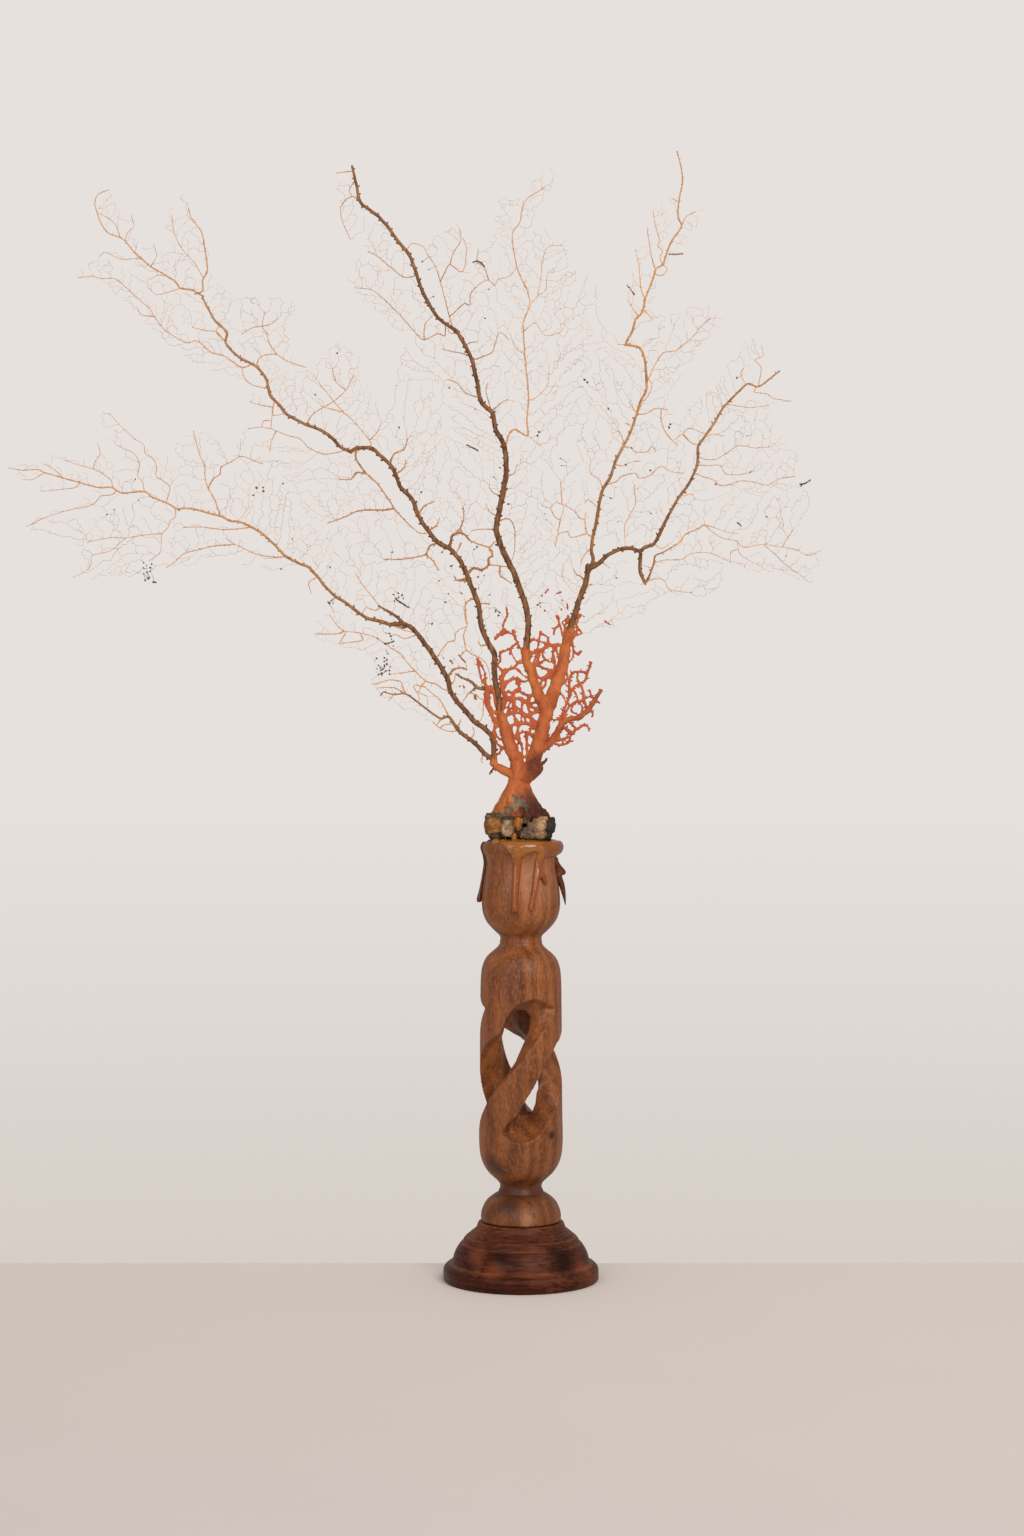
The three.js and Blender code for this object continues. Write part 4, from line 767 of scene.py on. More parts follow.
stemRoutes = {
    "trunk": [
        "-1,340 -2.9,354 -6.5,361.5 -8.8,369.2 -11.5,379 -14.3,386",
        "1.5,341 6.7,349.2 10.4,360 13.5,371.5 16.5,383.1 20.4,394.6 24.2,406.2 28.1,417.7 30.4,429.2 "
        "31.6,438 33.6,442",
        "18,387 12.5,398 8.4,409 6.2,416 3.4,423 3.1,428.6", "-3,341 -7.6,345.3 -13.4,348.2 -18,351",
    ],
    "left_branch": [
        "-14.6,387 -15.3,395.6 -17.3,406.2 -18.1,416.9 -18.1,426.2 -22,434 -26,442 -28,451.2 -29,460.5 "
        "-33.4,471.9 -36.9,481.2 -41.5,490.4 -48.4,498.5 -56.5,503 -63.4,511.2 -70.4,521.5 -73.8,531.9 "
        "-82.5,541.2 -85.4,549.2 -89.4,556.2 -95.8,561.9 -101.5,566.5 -111.3,567.1 -116,564.8",
    ],
    "middle_branch": [
        "3,428.6 4.8,441 4.9,451.2 3,461.5 -1.1,473.1 -5.7,484.6 -12.7,498.5 -16.7,511.2 -15.5,521.5 "
        "-12.7,535.4 -10.3,548.1 -10.3,560.8 -12.1,571.2 -17.3,580.4 -19.8,591.9 -27,598.6 -29.4,609.2 "
        "-32.8,625 -36.6,634.3 -43.2,645.6",
    ],
    "right_branch": [
        "33.9,443.2 36.8,453.6 40.7,466.2 44.5,476.3 46.3,488.4",
    ],
    "far_left_branch": [
        "-18.6,352.6 -18.6,364.1 -20.4,371.3 -25,376 -32.1,381.2 -37.4,387.4 -42.8,393.7 -48.2,401.8 "
        "-50,409 -53.6,416.2 -58.1,423.3 -64.4,432.3 -69.7,439.5 -75.1,444.9 -80.5,447.6 -88.7,446.9 "
        "-93.1,448.5 -105.6,451.6 -113.4,456.9 -119.2,461.5 -127.3,466.7 -134.2,473.7 -138.8,479.4 "
        "-144.6,485.8 -150.4,488.1 -160.2,493.3 -167.7,500.8 -175.8,508.3 -183.8,513.2 -191.9,516.7 "
        "-197.7,517.2 -204.6,520.4 -211.5,522.1 -223,525.4 -232.9,525.4",
    ],
    "left_upper_branch": [
        "-117,564.8 -123,567.8 -130.3,575 -137,579.4 -146.6,582.9 -158.7,589 -163.9,595.1 -170.6,602.6 "
        "-172.6,612.4 -179.6,621.3 -191.8,628.1 -200.2,637.5 -199.6,644.7 -207.5,652.5 -212.6,661.2 "
        "-216,668",
    ],
    "middle_upper_branch": [
        "-44,646.8 -53.3,652.6 -60.2,660.6 -65.8,670.4 -70,681.5 -74.2,694 -77.5,700 -83.9,707.9 "
        "-90.8,717.2 -97.8,724.6 -107.6,731.8 -110.3,737.1 -111.8,745.4 -114.8,758",
    ],
    "right_upper_branch": [
        "47.4,485.6 49.4,492 48.5,499.6 49.6,508.8 51.9,518.1 53.7,529.6 56,540 61.2,548.1 64.6,558.5 "
        "70.4,570 75,579.2 79,590.8 81.9,600 85.8,607.5 86.1,613.8 85.3,626.1 83.5,633 80.6,637.1 "
        "72,639.4 75.9,647.2 78.3,655.4 83,661.2 85.3,670.6 87.6,676.5 91,685.4",
    ],
    "right_arch_branch": [
        "49.6,487.2 53.1,489.2 60,495.6 69.2,499.6 76.2,499.6 81.9,497.8 85.4,500.8 91.2,502.7 95.8,511.2 "
        "101.5,522.7 108.5,534.8 115.4,544.6 121,557.3 121.7,569.6 125.3,575.2 132.3,585.1 139.4,597.1 "
        "149.3,607 155.6,612.6 162.7,610.5 169,614.7 177.5,621.4",
    ],
    "hook_branch": [
        "82.4,494.6 81.9,484.6 85.4,476.8 88.3,481.2 91.2,489.2 92.6,495 99.2,498.1 108.5,503.9 "
        "113.3,509.7 121,513.2 126.7,516.7",
    ],
    "middle_side_branch": [
        "-9.4,572.6 -8,577.5 -4,580.4 4.6,576.4 4.1,586.2 5.2,600 4.8,609.4 2.9,627.7 1.7,646 1.7,653.3 "
        "6,665.5 4.2,675.2 0.5,682.5 -3.2,692.3 -5.6,706.9 -5.6,714.2 -0.7,721.5 0.5,728.8 3.8,737.1 "
        "16.4,745.5",
    ],
    "far_left_tip": [
        "-233.9,525.4 -241.6,529.7 -251.4,533.5 -256.3,537.1 -271,536.2 -278.7,540 -287.4,540 -295,541.7 "
        "-300.5,543.5 -311.4,546.4 -324.5,550.4 -330,552.4 -339.7,552 -350,553.8",
    ],
    "left_end_spray": [
        "-216.9,669.6 -223.1,673 -230.9,674.2 -235.3,679.5 -251,689 -257,694.3 -263.1,699.8 -270.1,707.8 "
        "-278.8,711.2 -284,716.9 -289,731 -287,738 -279.6,741.3",
        "-219.4,671 -215.6,672.6 -215.8,679.3 -212.6,686 -213.1,693.5 -214.7,703.3 -216.9,713.1 "
        "-223.5,721.8 -225.1,728.4",
    ],
    "right_upper_tip": [
        "91.2,686.2 92.6,690.8 97,693.6 99.7,700.8 103.3,709.9 109.9,719.7 107.6,726.4 108.2,737.4 "
        "110.6,749.5 110,759.3 107,771.6",
    ],
    "right_low_spray": [
        "14.2,361 20.4,366.9 24.2,372.3 28.1,379.2 32.7,382.3 39.6,383.8 45.8,388.5 50.4,395.4 55,402.3",
    ],
    "left_low_spray": [
        "-20.4,356 -24.9,358.7 -30.3,365 -37.4,370.4 -42.8,374.9 -49.1,383.8 -54.5,382.9 -59,385.2 "
        "-69.7,393.3 -78.7,399.6 -86.8,399.1 -94,400.9 -95.8,398.2",
    ],
}

twigRoutes = {
    "trunk": [
        "-14,409 -11.2,415.4 -5,417.7 -1.9,420.8 3.4,421",
        "-12.8,400 -11.2,406.2 -5,410.8 -1.9,406.2 1.2,400 9,396",
        "-13,386 -8.8,396.9 -4.2,396.2 0.4,396.9 4.2,393.1 14,386",
        "-12,380 -8.1,388.5 -3.5,390.8 1.2,386.9 5,383.8 14.5,378",
        "-10.5,376 -3.5,379.2 1.2,379.2 7.3,379.2 14.8,374",
        "-8.5,368 -3.5,370.8 1.2,373.8 5.8,373.1 13,366", "-3.5,370.8 0.4,364.6 1.2,357.7 2.7,356.2 9,354",
        "3.5,371.5 4.2,363.1 4.2,355.5 6,351", "4.6,415 10.4,419.2 15,417.7 19.6,415.4 27,413",
        "3.4,423.5 10.4,429.2 15.8,430.8 18.1,433.8 22.7,433.8 31,433",
        "6.5,436.2 8.1,436.9 11.9,436.2 15.8,437.3", "13.5,443.1 12.3,436.2 11.2,429.2 8.8,421.5 4.6,413",
        "22.7,433.8 21.9,427.7 20.4,421.5 16.5,423.1 10.4,419.2", "25,453.8 26.5,447.7 28.8,440 31,434",
        "32.7,453.8 30.4,446.2 30.2,438", "41.2,454.6 38.1,448.5 38.6,443.8 35.5,438.5 31.2,433",
        "37.3,435.4 36.2,429.2 34.2,423.1 28.3,417", "8.8,399 12.5,406 19.6,415.4",
        "-5.5,443.8 -3,436.2 0.4,429.2 3.2,423",
    ],
    "left_branch": [
        "-48.4,499 -46.7,508.3 -39.8,509.4 -35.2,504.8 -27.7,501.9 -21.9,500.2 -17.9,503.7 -13,505.4",
        "-36.9,481.2 -32.3,485.8 -26.5,484.6 -21.9,488.1 -14.4,487.2 -7,487",
        "-21.9,500.2 -19.4,495 -22.5,492.1 -21.9,488.1", "-39.8,509.4 -41.5,512.9 -39.2,519.2 -39.6,527",
        "-56.5,502.5 -62.3,500.8 -65.2,495 -73.8,492.7 -81.9,491.5 -93.5,491.5",
        "-65.2,495 -60,490.4 -56.5,484",
        "-112,566.6 -112.3,559.6 -105.4,549.8 -98.4,543.5 -89.6,531.3 -86.5,526.2 -81.9,521 -75.6,514.6 "
        "-69.2,509.4 -62,509.6",
        "-105.4,549.8 -112.3,550.2 -115.7,545.8 -124,545.8",
        "-86.5,526.2 -93.5,525 -105.4,525 -112.3,523.9 -119.2,520.4 -131.9,515.8",
        "-89.4,556.2 -86.5,563 -79.6,566.5 -77.3,573.5", "-36,477 -43.2,477.1 -45.5,480",
        "-14.4,481.2 -6.3,475.4", "-21.3,461.5 -27.7,462.1", "-35.2,463.8 -38,460.4 -36.9,446.5",
        "-40.9,503.1 -42.1,496.7", "-85,549.6 -79.8,553.6 -78.6,559", "-70.4,521.5 -66,528 -59,531",
        "-22,434 -27,432.6 -29.4,435.6", "-63.4,511.2 -58,514.4 -55.6,520", "-46,509.6 -41.5,512.9",
    ],
    "middle_branch": [
        "-30.5,601 -37.3,604.5 -43.4,611.2 -50,614", "-34.5,629.5 -38.5,631.3 -45.8,632.6 -54.3,634.4",
        "-33.2,627 -23.9,630.4 -19,633.8 -14.7,646 -8,641.1",
        "-14.8,517.5 -8.6,519.8 -4.6,514 -4,507.7 -4.6,496.2 -7,489", "-19.6,592 -23.9,605.8 -22.5,612",
        "-16.4,512 -25.4,512.5 -34,511.6", "-19,593 -11.7,599.7 -8,600.3",
        "-37.3,637.4 -33.6,639.3 -29.3,639.3", "-15.5,521.5 -21,524 -24,530",
        "-12.7,535.4 -18.5,537 -22,541", "-10.3,548 -4.6,551 -2.6,557",
    ],
    "right_branch": [
        "44.6,478 38.1,482.3 36,486", "43.6,474.6 49,474.8",
    ],
    "far_left_branch": [
        "-79.5,447.8 -88.6,454.7 -95.8,458.8 -102.7,467.3 -108,474 -113.1,482.3",
        "-95.8,458.8 -99.2,456.6 -105.8,458.3 -108.4,453.6",
        "-48.2,400.9 -53.6,403.1 -58.1,406.3 -65.3,408.5 -72.4,415.3 -77.8,421.1 -81.4,426 -88.6,431 "
        "-98.5,437.7 -110.1,441.3 -120.4,442.5 -126.1,447.1 -130.2,453.5",
        "-72.4,415.3 -84.1,413.5 -89.5,413", "-120.4,442.5 -126.1,440.4 -140,440.2",
        "-110.1,441.3 -107.7,436.6 -115,434.8 -123.8,433.9",
        "-160.2,492.4 -170,492.7 -180.4,494.8 -186.1,497.3 -194.8,501.3 -201,505.4",
        "-194.8,501.3 -209.2,500.2 -218.5,497.9 -229.6,494.8 -236.2,488.8 -241.6,485.5",
        "-183.8,512.2 -201.1,511.2 -216.2,512.9 -230,512.8",
        "-204,521 -208.6,531.9 -212.7,539.4 -214.9,547 -215,554.2 -218.7,562.9 -222.6,578.2",
        "-212.7,539.4 -209.2,545.8 -204.6,548.7 -204,553.3 -197.1,557.3 -190.2,561 -183.8,559 -175.8,555.6",
        "-139.5,478.6 -144.6,475.4 -142.9,467.9",
        "-50,411 -45.5,416.6 -40.1,417.5 -37,416.2 -38.3,421.5 -42.8,426",
        "-48.2,404 -45.5,409 -44.6,413.5 -40.1,410.8 -33.9,408.1 -29.4,404 -23.1,403.1",
        "-57.6,424 -53.6,430.1 -50,435 -45.5,436.4 -44.6,441.3 -41,444.4 -37,445.8 -38.3,452.9 -39.2,460.1",
        "-37.4,429.6 -33.9,426.9 -27.6,424.2 -24,420.6 -21.7,414.4 -21,408",
        "-29.4,423.3 -28.5,415.3 -25.8,406.3", "-35.6,400.5 -38.8,395.5 -40,393",
        "-25.8,395.5 -25.8,387.4 -26.7,383 -28,381", "-71.5,439.6 -79.6,437.3 -85.4,440.2 -89,439",
        "-89.4,444.2 -79.6,443.1 -72,441", "-70,400.9 -64.4,398.2 -63.5,391.9", "-119,442.4 -124,436",
        "-39.2,433.2 -39.2,439.5 -37,445.8", "-35.6,400.5 -31.4,399.2 -25.8,395.5 -20,397",
    ],
    "left_upper_branch": [
        "-119,565.6 -126.1,563.7 -134.8,562.7 -144.6,567.1 -150.4,572.9 -159.6,575.4 -170,579.5 "
        "-176.9,580.6 -185.6,579.6",
        "-168.6,598 -169.2,588 -170,579.5", "-166.5,577.9 -170,570 -170.8,564",
        "-179.6,621.3 -177.7,627 -173.4,629.4 -165.7,629.7 -160.2,625.9 -152.6,623.1 -146,621",
        "-165.7,629.7 -170.6,636.6 -172.7,644.4 -175.5,648.8 -173.8,658.6",
        "-175.5,648.8 -182,647.7 -189.7,643.3",
        "-183.1,622.6 -189.7,621 -200.6,628 -210.4,631.3 -219.8,638.6 -226.3,637.3 -234,641.1 "
        "-242.1,646.6 -248.7,655.3 -252,660.8 -257.4,665.1 -267.8,674.9 -275.4,680.9 -285.2,680.9 "
        "-290.7,682.6 -300.5,681.6",
        "-201,638 -206.8,644.9 -213.6,645.5 -223,647.9", "-172.6,606.5 -182,609 -187.4,613.6 -189.7,621",
        "-248.7,655.3 -256.3,655.9 -260,659.6",
        "-102.6,568.7 -103.6,572.7 -114.6,585.7 -120.6,590.7 -130.7,593.8",
        "-119,589.6 -127,598 -136.7,609.8", "-103.4,572.4 -98.4,577 -96,582",
        "-200.6,638.4 -206.6,644.4 -205.5,647.7 -203.8,650.9", "-175.5,648.8 -170,649.9 -164.6,654.2",
        "-175.5,595.3 -184.2,597.5", "-168.4,597 -168.8,589 -160.7,589", "-170,585 -174.6,585 -176.5,581.5",
        "-120.4,591.4 -129.6,593.1 -136.5,595.4", "-146,582.6 -141,590 -128,598 -119,606 -114,616",
        "-119,606 -126,612 -128,621",
    ],
    "middle_upper_branch": [
        "-45.6,648 -48.4,655 -51.3,666.7 -54.9,680.1 -58.6,691.1 -64.1,699 -66.5,703.8 -74.4,705.7 "
        "-77.4,701",
        "-54.9,680.1 -51.3,687.4 -48.2,691.7 -40.9,686.8 -37.9,692.3 -37.3,704.5 -39.7,709.9",
        "-48.8,656.6 -45.2,659.4 -38.5,665.5 -34.8,664.4 -34.2,672.2 -27.5,679.5 -22,681.5 -17.8,677.9 "
        "-15.6,682 -8,684.3 -3.6,689",
        "-71.2,684.2 -79.3,682.5 -88.4,689.2 -98.2,697.1 -104.3,699.6",
        "-51.5,651.5 -51.9,643.4 -56.8,644.7 -65.9,640.5 -71.4,644.7 -81.1,655.7 -90.9,665.5 -100.6,673.4 "
        "-106.7,674.6 -113.4,675.2",
        "-109.4,735 -114.4,737.1 -119.3,734.4 -122.6,728.4 -121,719.7 -116,708",
        "-113.8,754.5 -119,754 -125.3,752.9", "-43,641.6 -48.6,645.4 -49.6,651 -46.4,654.6",
        "-114.4,748 -116.6,741.5 -114.4,737.1", "-65.9,640.5 -65.3,650.8 -60.4,656.9",
        "-48.6,692 -46,700 -41,708 -42,716", "-22,681.5 -25,690 -30,694 -29,702",
    ],
    "right_upper_branch": [
        "49.4,507.7 45,510.6 43.8,519.2 40.4,520.4 36.9,525 31.2,528.5 23.7,531 20.2,527.3 15,528.5",
        "45.6,510.2 39.8,508.3 34,507.4 31.7,511.2 25.4,508.8 23.7,500.8",
        "57.8,543 65.8,545.8 69.2,549.2 78.5,551.5 80.8,548.1 88.8,549.8 95.8,556.2 102.7,552.7 "
        "111.9,551.5",
        "70,569.4 75.6,568.8 78.5,566 86.5,566 90,570 92.9,565.4",
        "56.2,540.4 53.7,546.9 47.9,551 47.3,556.2", "70.6,570.8 68.7,577.5 66.3,579.8 62.3,578.1",
        "79.6,591.8 85.4,591.9 92.3,595.4 101.5,594.8",
        "86,611.8 90.5,622.8 94.8,630.1 98.4,633.8 107,635.6 117.9,644.7 124,652.1 130,657.5",
        "85,670 82,677.6 80.8,692.3 78.3,703.8", "73.6,639 66.4,638.9", "84.6,662.6 89.9,656.9",
        "81,657.8 77.7,662 73,669", "78,590 82.4,597.4 87.5,605 90,611 86.9,616", "79.7,592 76,597 74,600",
        "66.4,638.9 66,641", "96,589.6 98.1,581.5 103.8,574 108,570", "45,510.8 43.8,519.2 44.8,524.6",
        "20.2,527.3 23.1,521.5 27.1,519.8 29.4,528.5", "27.1,519.8 26,513.5 24.8,504",
        "28,529 27.7,537.7 27.1,544.6", "49,500 43.6,495.4 41,489", "69.2,556.2 76.2,559 81.9,559.6",
        "71.5,585.6 75,584", "50.8,527.7 46.2,533.1 43.8,530",
    ],
    "right_arch_branch": [
        "162.7,610.5 159.8,607.1 169,605.6 173.2,602.7 185.9,600.6",
        "162.7,610.5 164.8,623.2 160.5,628.8 166.2,631.7 164.8,638.7",
        "140.8,598.9 146.4,597.8 157.7,596.4 169,597.8",
        "121.2,556.9 128.1,556.9 136.6,556.9 140.8,551.3 150.7,550.6 159.1,552.7",
        "118.8,552 125.3,549.2 132.3,547 138.7,542.8 150.7,546.3 160.5,545.6 169,543.5 177.5,547.7 "
        "188.8,549.2",
        "122,571 116.8,572.4 111.2,578.1 103.8,574 98.1,581.5 96.3,589.6",
        "121.5,563 126.7,561.1 133.7,560.9 138.7,563.7 149.3,570.3 160.5,568.9 171.8,569.6",
        "109,535.6 117.5,537.2 119.6,532.9", "55,491 61.2,486.3",
        "78.5,543.5 77.9,540 78.5,530.2 71.5,515.8 72,500",
        "116.8,572.4 111.2,578.1 116.1,582.3 124.6,579.5", "152.8,623.2 150.7,619 153.5,613",
        "125.3,576 132,578.4 139.4,576.7", "92,503 96.6,499.8 103,503.6",
    ],
    "hook_branch": [
        "126.2,516.2 132.3,511.1 139.4,506.8 147.8,505.4 153.5,500.8 166.9,502.9 177.5,501.2 188.8,499.5 "
        "197.2,495.4 207,499",
        "125.7,516.4 132.3,514.6 142.2,511.1 150,510.4",
        "166.9,502.9 176.1,494.9 181.7,489.2 191.6,482.2 198.6,476.5",
        "91.4,489.4 98.5,492 109.8,492.3 116.8,496.3 128.1,497.3 135.1,494.9 144.3,490.6",
        "85.8,477.4 94.2,479.3 98.5,477.9 102.7,471.6 118.2,469.5", "149.3,504.8 150.7,496.3 159.1,490.6",
        "180.3,504.7 187.3,513.2", "149.3,499.1 144.7,498 144.7,490.6", "91.2,486 86,488.6",
    ],
    "middle_side_branch": [
        "5.6,666 11.3,671.6 13.8,685 15,697.1 19.2,705.1 29,705.7",
        "11.3,671.6 16.8,675.2 18,686.2 22.9,690.4", "1.7,646.6 9.5,652.9 16.2,644.7 25.3,646",
        "2.6,631.3 -3.9,636.2 -7.6,646", "5.2,600.5 10.1,602.1 17.4,609.4 19.2,617.9 19.2,626.5",
        "4.4,576.8 10.4,571.6 14.5,568.8",
    ],
    "far_left_tip": [
        "-278.2,539.6 -278.7,544.4 -285.2,549.8 -291,552.4 -301.6,555.5 -311.4,558.8",
        "-291,552.4 -289.6,558 -286.3,562.9 -288,570",
        "-275.4,536.8 -279.2,534.8 -285.8,534.2 -292.3,528.2 -307,525 -322.3,520.6 -337.6,513.6",
        "-300.5,543.5 -303.7,540 -314.7,538.7 -327.2,537.6",
        "-256.3,537.1 -257.4,543.3 -260.7,547.7 -259.6,556.4 -263.4,562.9 -274.3,568.4",
        "-241.6,529.7 -239,540.5 -248.2,547.7 -247.6,553.1 -250.3,559.7 -255.6,562.9 -256.3,568.4 "
        "-262.3,572.7 -272.1,581.5 -279.8,590.2",
        "-235.5,526.2 -235.1,519.9 -238.9,517.2 -240.2,512.8 -244.3,508.4 -244.9,501.9 -246,495.3 "
        "-253.6,489.9",
        "-244.3,508.9 -253.6,507.9 -261.2,506.8 -268.9,505.6 -274.3,501.3 -279.8,496.9 -292.3,493.7 "
        "-292.9,487.7 -297.2,482.8 -305.4,479",
        "-268.9,505.6 -278.7,506 -289.6,504.1 -296.1,502.4", "-311.4,546.4 -318,552.4 -325,556",
        "-324.5,550.4 -333,545.6 -340,546",
    ],
    "left_end_spray": [
        "-257,694.3 -264.5,694.2 -268.9,693.7 -275.4,695.7 -281.9,698.9 -286.3,695.7",
        "-268.3,706.1 -266.7,712 -262.3,716.3 -264.5,724",
        "-215.6,681 -221,690.8 -225.2,695.7 -230.7,702.2 -235,712 -236.7,724",
        "-230.9,674.2 -236.1,672.4 -242.7,670.6 -247.6,670 -253.6,676",
        "-271.6,708.4 -274.9,717.5 -280.8,722.4 -284.1,726.6", "-251,689 -247,696 -249,704",
        "-240,683 -246,683 -252,680",
    ],
    "right_upper_tip": [
        "92,687.4 96,685.8 100.3,690.4 97,693.6",
        "97,693.6 95.2,698.4 97,702.6 93.6,706.3 94.8,710.5 91.7,721.5 90.5,731.3",
        "92,689.5 89.3,699.6 86.9,714.2 86.9,718.5", "109.4,719.2 113.1,726.4 119.2,730",
        "108.1,736.6 103.3,739.2",
    ],
    "right_low_spray": [
        "20.4,366.9 26.5,368.2 33.5,370.6 38.1,375.4 43.1,378.8",
        "20.4,366 26.5,364.8 32.7,366.5 36.5,367.3",
        "28.1,379.2 31.9,389.2 36.5,393.8 42.7,394.6 45.8,388.5",
        "24.2,372.3 27.2,383 30.4,390.8 33.5,398.5 35.8,403.8 40.4,406.9 43.5,408.5 45.8,414.4 48.1,421.5",
        "42.7,394.6 42.7,400.8 40.4,406.9", "33.5,398.5 33.2,410 36.5,414.8 45.8,414.6",
        "32.7,382.3 35.4,378.5 38.1,375.4",
    ],
    "left_low_spray": [
        "-42.8,374.9 -46.4,374 -50.9,374.4 -55.4,376.2 -60.2,380.6", "-55.4,376.2 -52.2,378.5 -45.5,379.4",
        "-78.7,399.6 -85.9,403.6 -92.2,404 -98.5,403.5",
        "-78.7,399.6 -80.8,404.5 -82.3,408.1 -90.4,409 -98.5,406.3 -102.1,406.3",
        "-49.1,383.8 -51.8,389.2 -55.4,395.4 -61.7,400.9 -65.4,404.4", "-41,382.1 -42.8,376.7",
        "-66.2,407.2 -73.3,405.4 -69.7,398.2 -69.7,394", "-54.5,382.9 -57.4,378.4",
        "-86.8,399.1 -90.4,394.6", "-35,368.4 -31.8,372.6 -33,377", "-24.9,358.7 -27.4,354.6 -26,352.4",
    ],
}

# Finer twigs of the orange net
thinTwigs = {
    "trunk": [
        "-21.5,405 -24.8,400 -24.2,392 -20.5,385 -17.8,379 -13,374",
        "-23.2,404 -26.6,409 -28.4,416 -30.2,424", "-22,400 -22.4,394 -19.6,389 -15.5,385",
        "-24,406 -24.6,414 -27.8,421 -31,428", "-14,383 -18.6,376 -15.6,369.6 -10,366",
        "-16.8,373 -20,367.4", "-12.4,362 -15.8,358.6 -19.8,361", "-3,352 -6.8,347.4 -10.6,349",
        "-17,350.4 -20.2,347 -21.4,344.6", "-18.6,349 -22.4,348.4", "10.4,362 8.6,367 10.2,372",
        "8.1,380 6.4,384 9.6,388", "8.1,392.3 12,388 15.4,389.6", "1.2,379.2 0,383.4 1.2,386.9",
        "-3.5,379.2 -4.4,384.6 -3.5,390.8", "6.5,357.7 7.4,362.4 6.2,366", "-8.1,388.5 -8.4,392 -5.6,394",
        "-4.2,396.2 -5.4,401 -2.4,403.4", "12,405 14.8,400.4 13.8,396", "-16,419 -14,422.6 -14.5,428",
        "-12,444 -8,441.4 -5,440 -1,431",
        "-17.7,436.8 -16.8,439.5 -11.4,440.8 -12.3,444 -11.4,449.4 -9.4,453 -10,459",
        "-7.5,431 -6,426.4 -4,422", "-12.4,432 -8,430.6 -4.6,434", "36.2,429.2 39.6,426.6 41.6,429.4",
        "29.6,406.2 31.9,412.3 30.4,417", "22.4,398 25.6,400.4 28.8,398.6 31.4,392.6",
        "24.2,432.6 25.2,426 24.8,419", "15.8,430.8 14.8,427 17.4,424", "34,448 36.6,452 35.8,457.4",
        "26.4,447.4 23.4,444.4 22.6,440.6", "31.2,446 28.4,449 28.8,453", "18.1,433.8 18.9,438 17.3,441.4",
        "38,438 41.6,441.6 40.6,446",
    ],
    "right_low_spray": [
        "44.2,396.2 47.6,398.4 47,402.6", "41.2,384.6 41.9,390.8 39.6,391.5",
        "33.5,403.1 36.9,401.2 39,397", "30.4,375.4 27.4,377.4 26.2,381.6", "50.4,395.4 53.8,393.4",
        "36.5,393.8 34.4,388 36.8,384", "45.8,388.5 49.4,386.6 48.6,384", "40.4,406.9 38.4,411 39.6,414",
        "48.1,421.5 51.4,417.4", "26.5,383.1 22.4,381.8 19.4,384.6", "20.4,366.9 18.2,372.6 19.6,377",
        "43.1,378.8 45.6,377.4 46.6,374.4",
    ],
}

# Twigs as stout as branches at their feet: route, radius at the foot and at the tip, tan share
stoutTwigs = {
    "far_left_branch": [
        ("-79.6,448.2 -84,451.5 -88,454.4 -94.8,458.3 -97,460", 1.15, 0.6, 0.05),
        ("-22.6,403.2 -27.4,403.4 -30.7,404.4 -33.9,408.1 -40.1,410.8 -44.6,413.5", 1.15, 0.6, 0.1),
        ("-30.7,404 -34.8,400.4", 0.8, 0.5, 0.1),
        ("-49.8,411.4 -45.5,416.6 -40.1,417.5 -37,416.2", 0.8, 0.5, 0.3),
        ("-77,446.6 -80,444.6 -84.4,446.4", 0.7, 0.6, 0.1),
    ],
    "left_branch": [
        ("-36.9,481.2 -32.3,485.8 -26.5,484.6 -21.9,488.1", 0.85, 0.7, 0.3),
        ("-48.4,499 -46.7,508.3 -39.8,509.4 -35.2,504.8", 0.9, 0.6, 0.2),
        ("-21.9,488.1 -22.5,492.1 -19.4,495 -21.9,500.2", 0.7, 0.6, 0.3),
        ("-37.8,479 -43.2,477.1 -45.5,480", 0.7, 0.4, 0.2),
    ],
}


def spots(route):
    return [tuple(float(v) for v in pair.split(",")) for pair in route.split()]


def depthAt(x, z):
    # Depth of the gently bowed surface that the whole fan grows in, upright below the main fork
    t = held((z - 345) / 105)
    settle = t * t * (3 - 2 * t)
    return settle * (9 * math.sin((x + 30) / 120) + 4 * math.sin((z - 350) / 75))


def onFan(route):
    return [Vector((x, depthAt(x, z), z)) for x, z in route]


def treeOf(places):
    # Finds the nearest of many places
    tree = KDTree(len(places))
    for number, place in enumerate(places):
        tree.insert(place, number)
    tree.balance()
    return tree


def nearestOn(lines, end, reach):
    # The nearest point on any of the lines, or None if all lie beyond the reach
    best, found = reach, None
    for line in lines:
        for a, b in zip(line, line[1:]):
            along = b - a
            t = held((end - a).dot(along) / max(along.length_squared, 1e-9))
            foot = a + along * t
            if (foot - end).length < best:
                best, found = (foot - end).length, foot
    return found


def radiiAlong(points, profile):
    # Radius at each point from a list of (share of the length, radius)
    along = [0]
    for a, b in zip(points, points[1:]):
        along.append(along[-1] + (b - a).length)
    radii = []
    for reached in along:
        share = reached / max(along[-1], 1e-9)
        for (s0, r0), (s1, r1) in zip(profile, profile[1:]):
            if share <= s1 + 1e-9:
                radii.append(r0 + (r1 - r0) * (share - s0) / max(s1 - s0, 1e-9))
                break
        else:
            radii.append(profile[-1][1])
    return radii


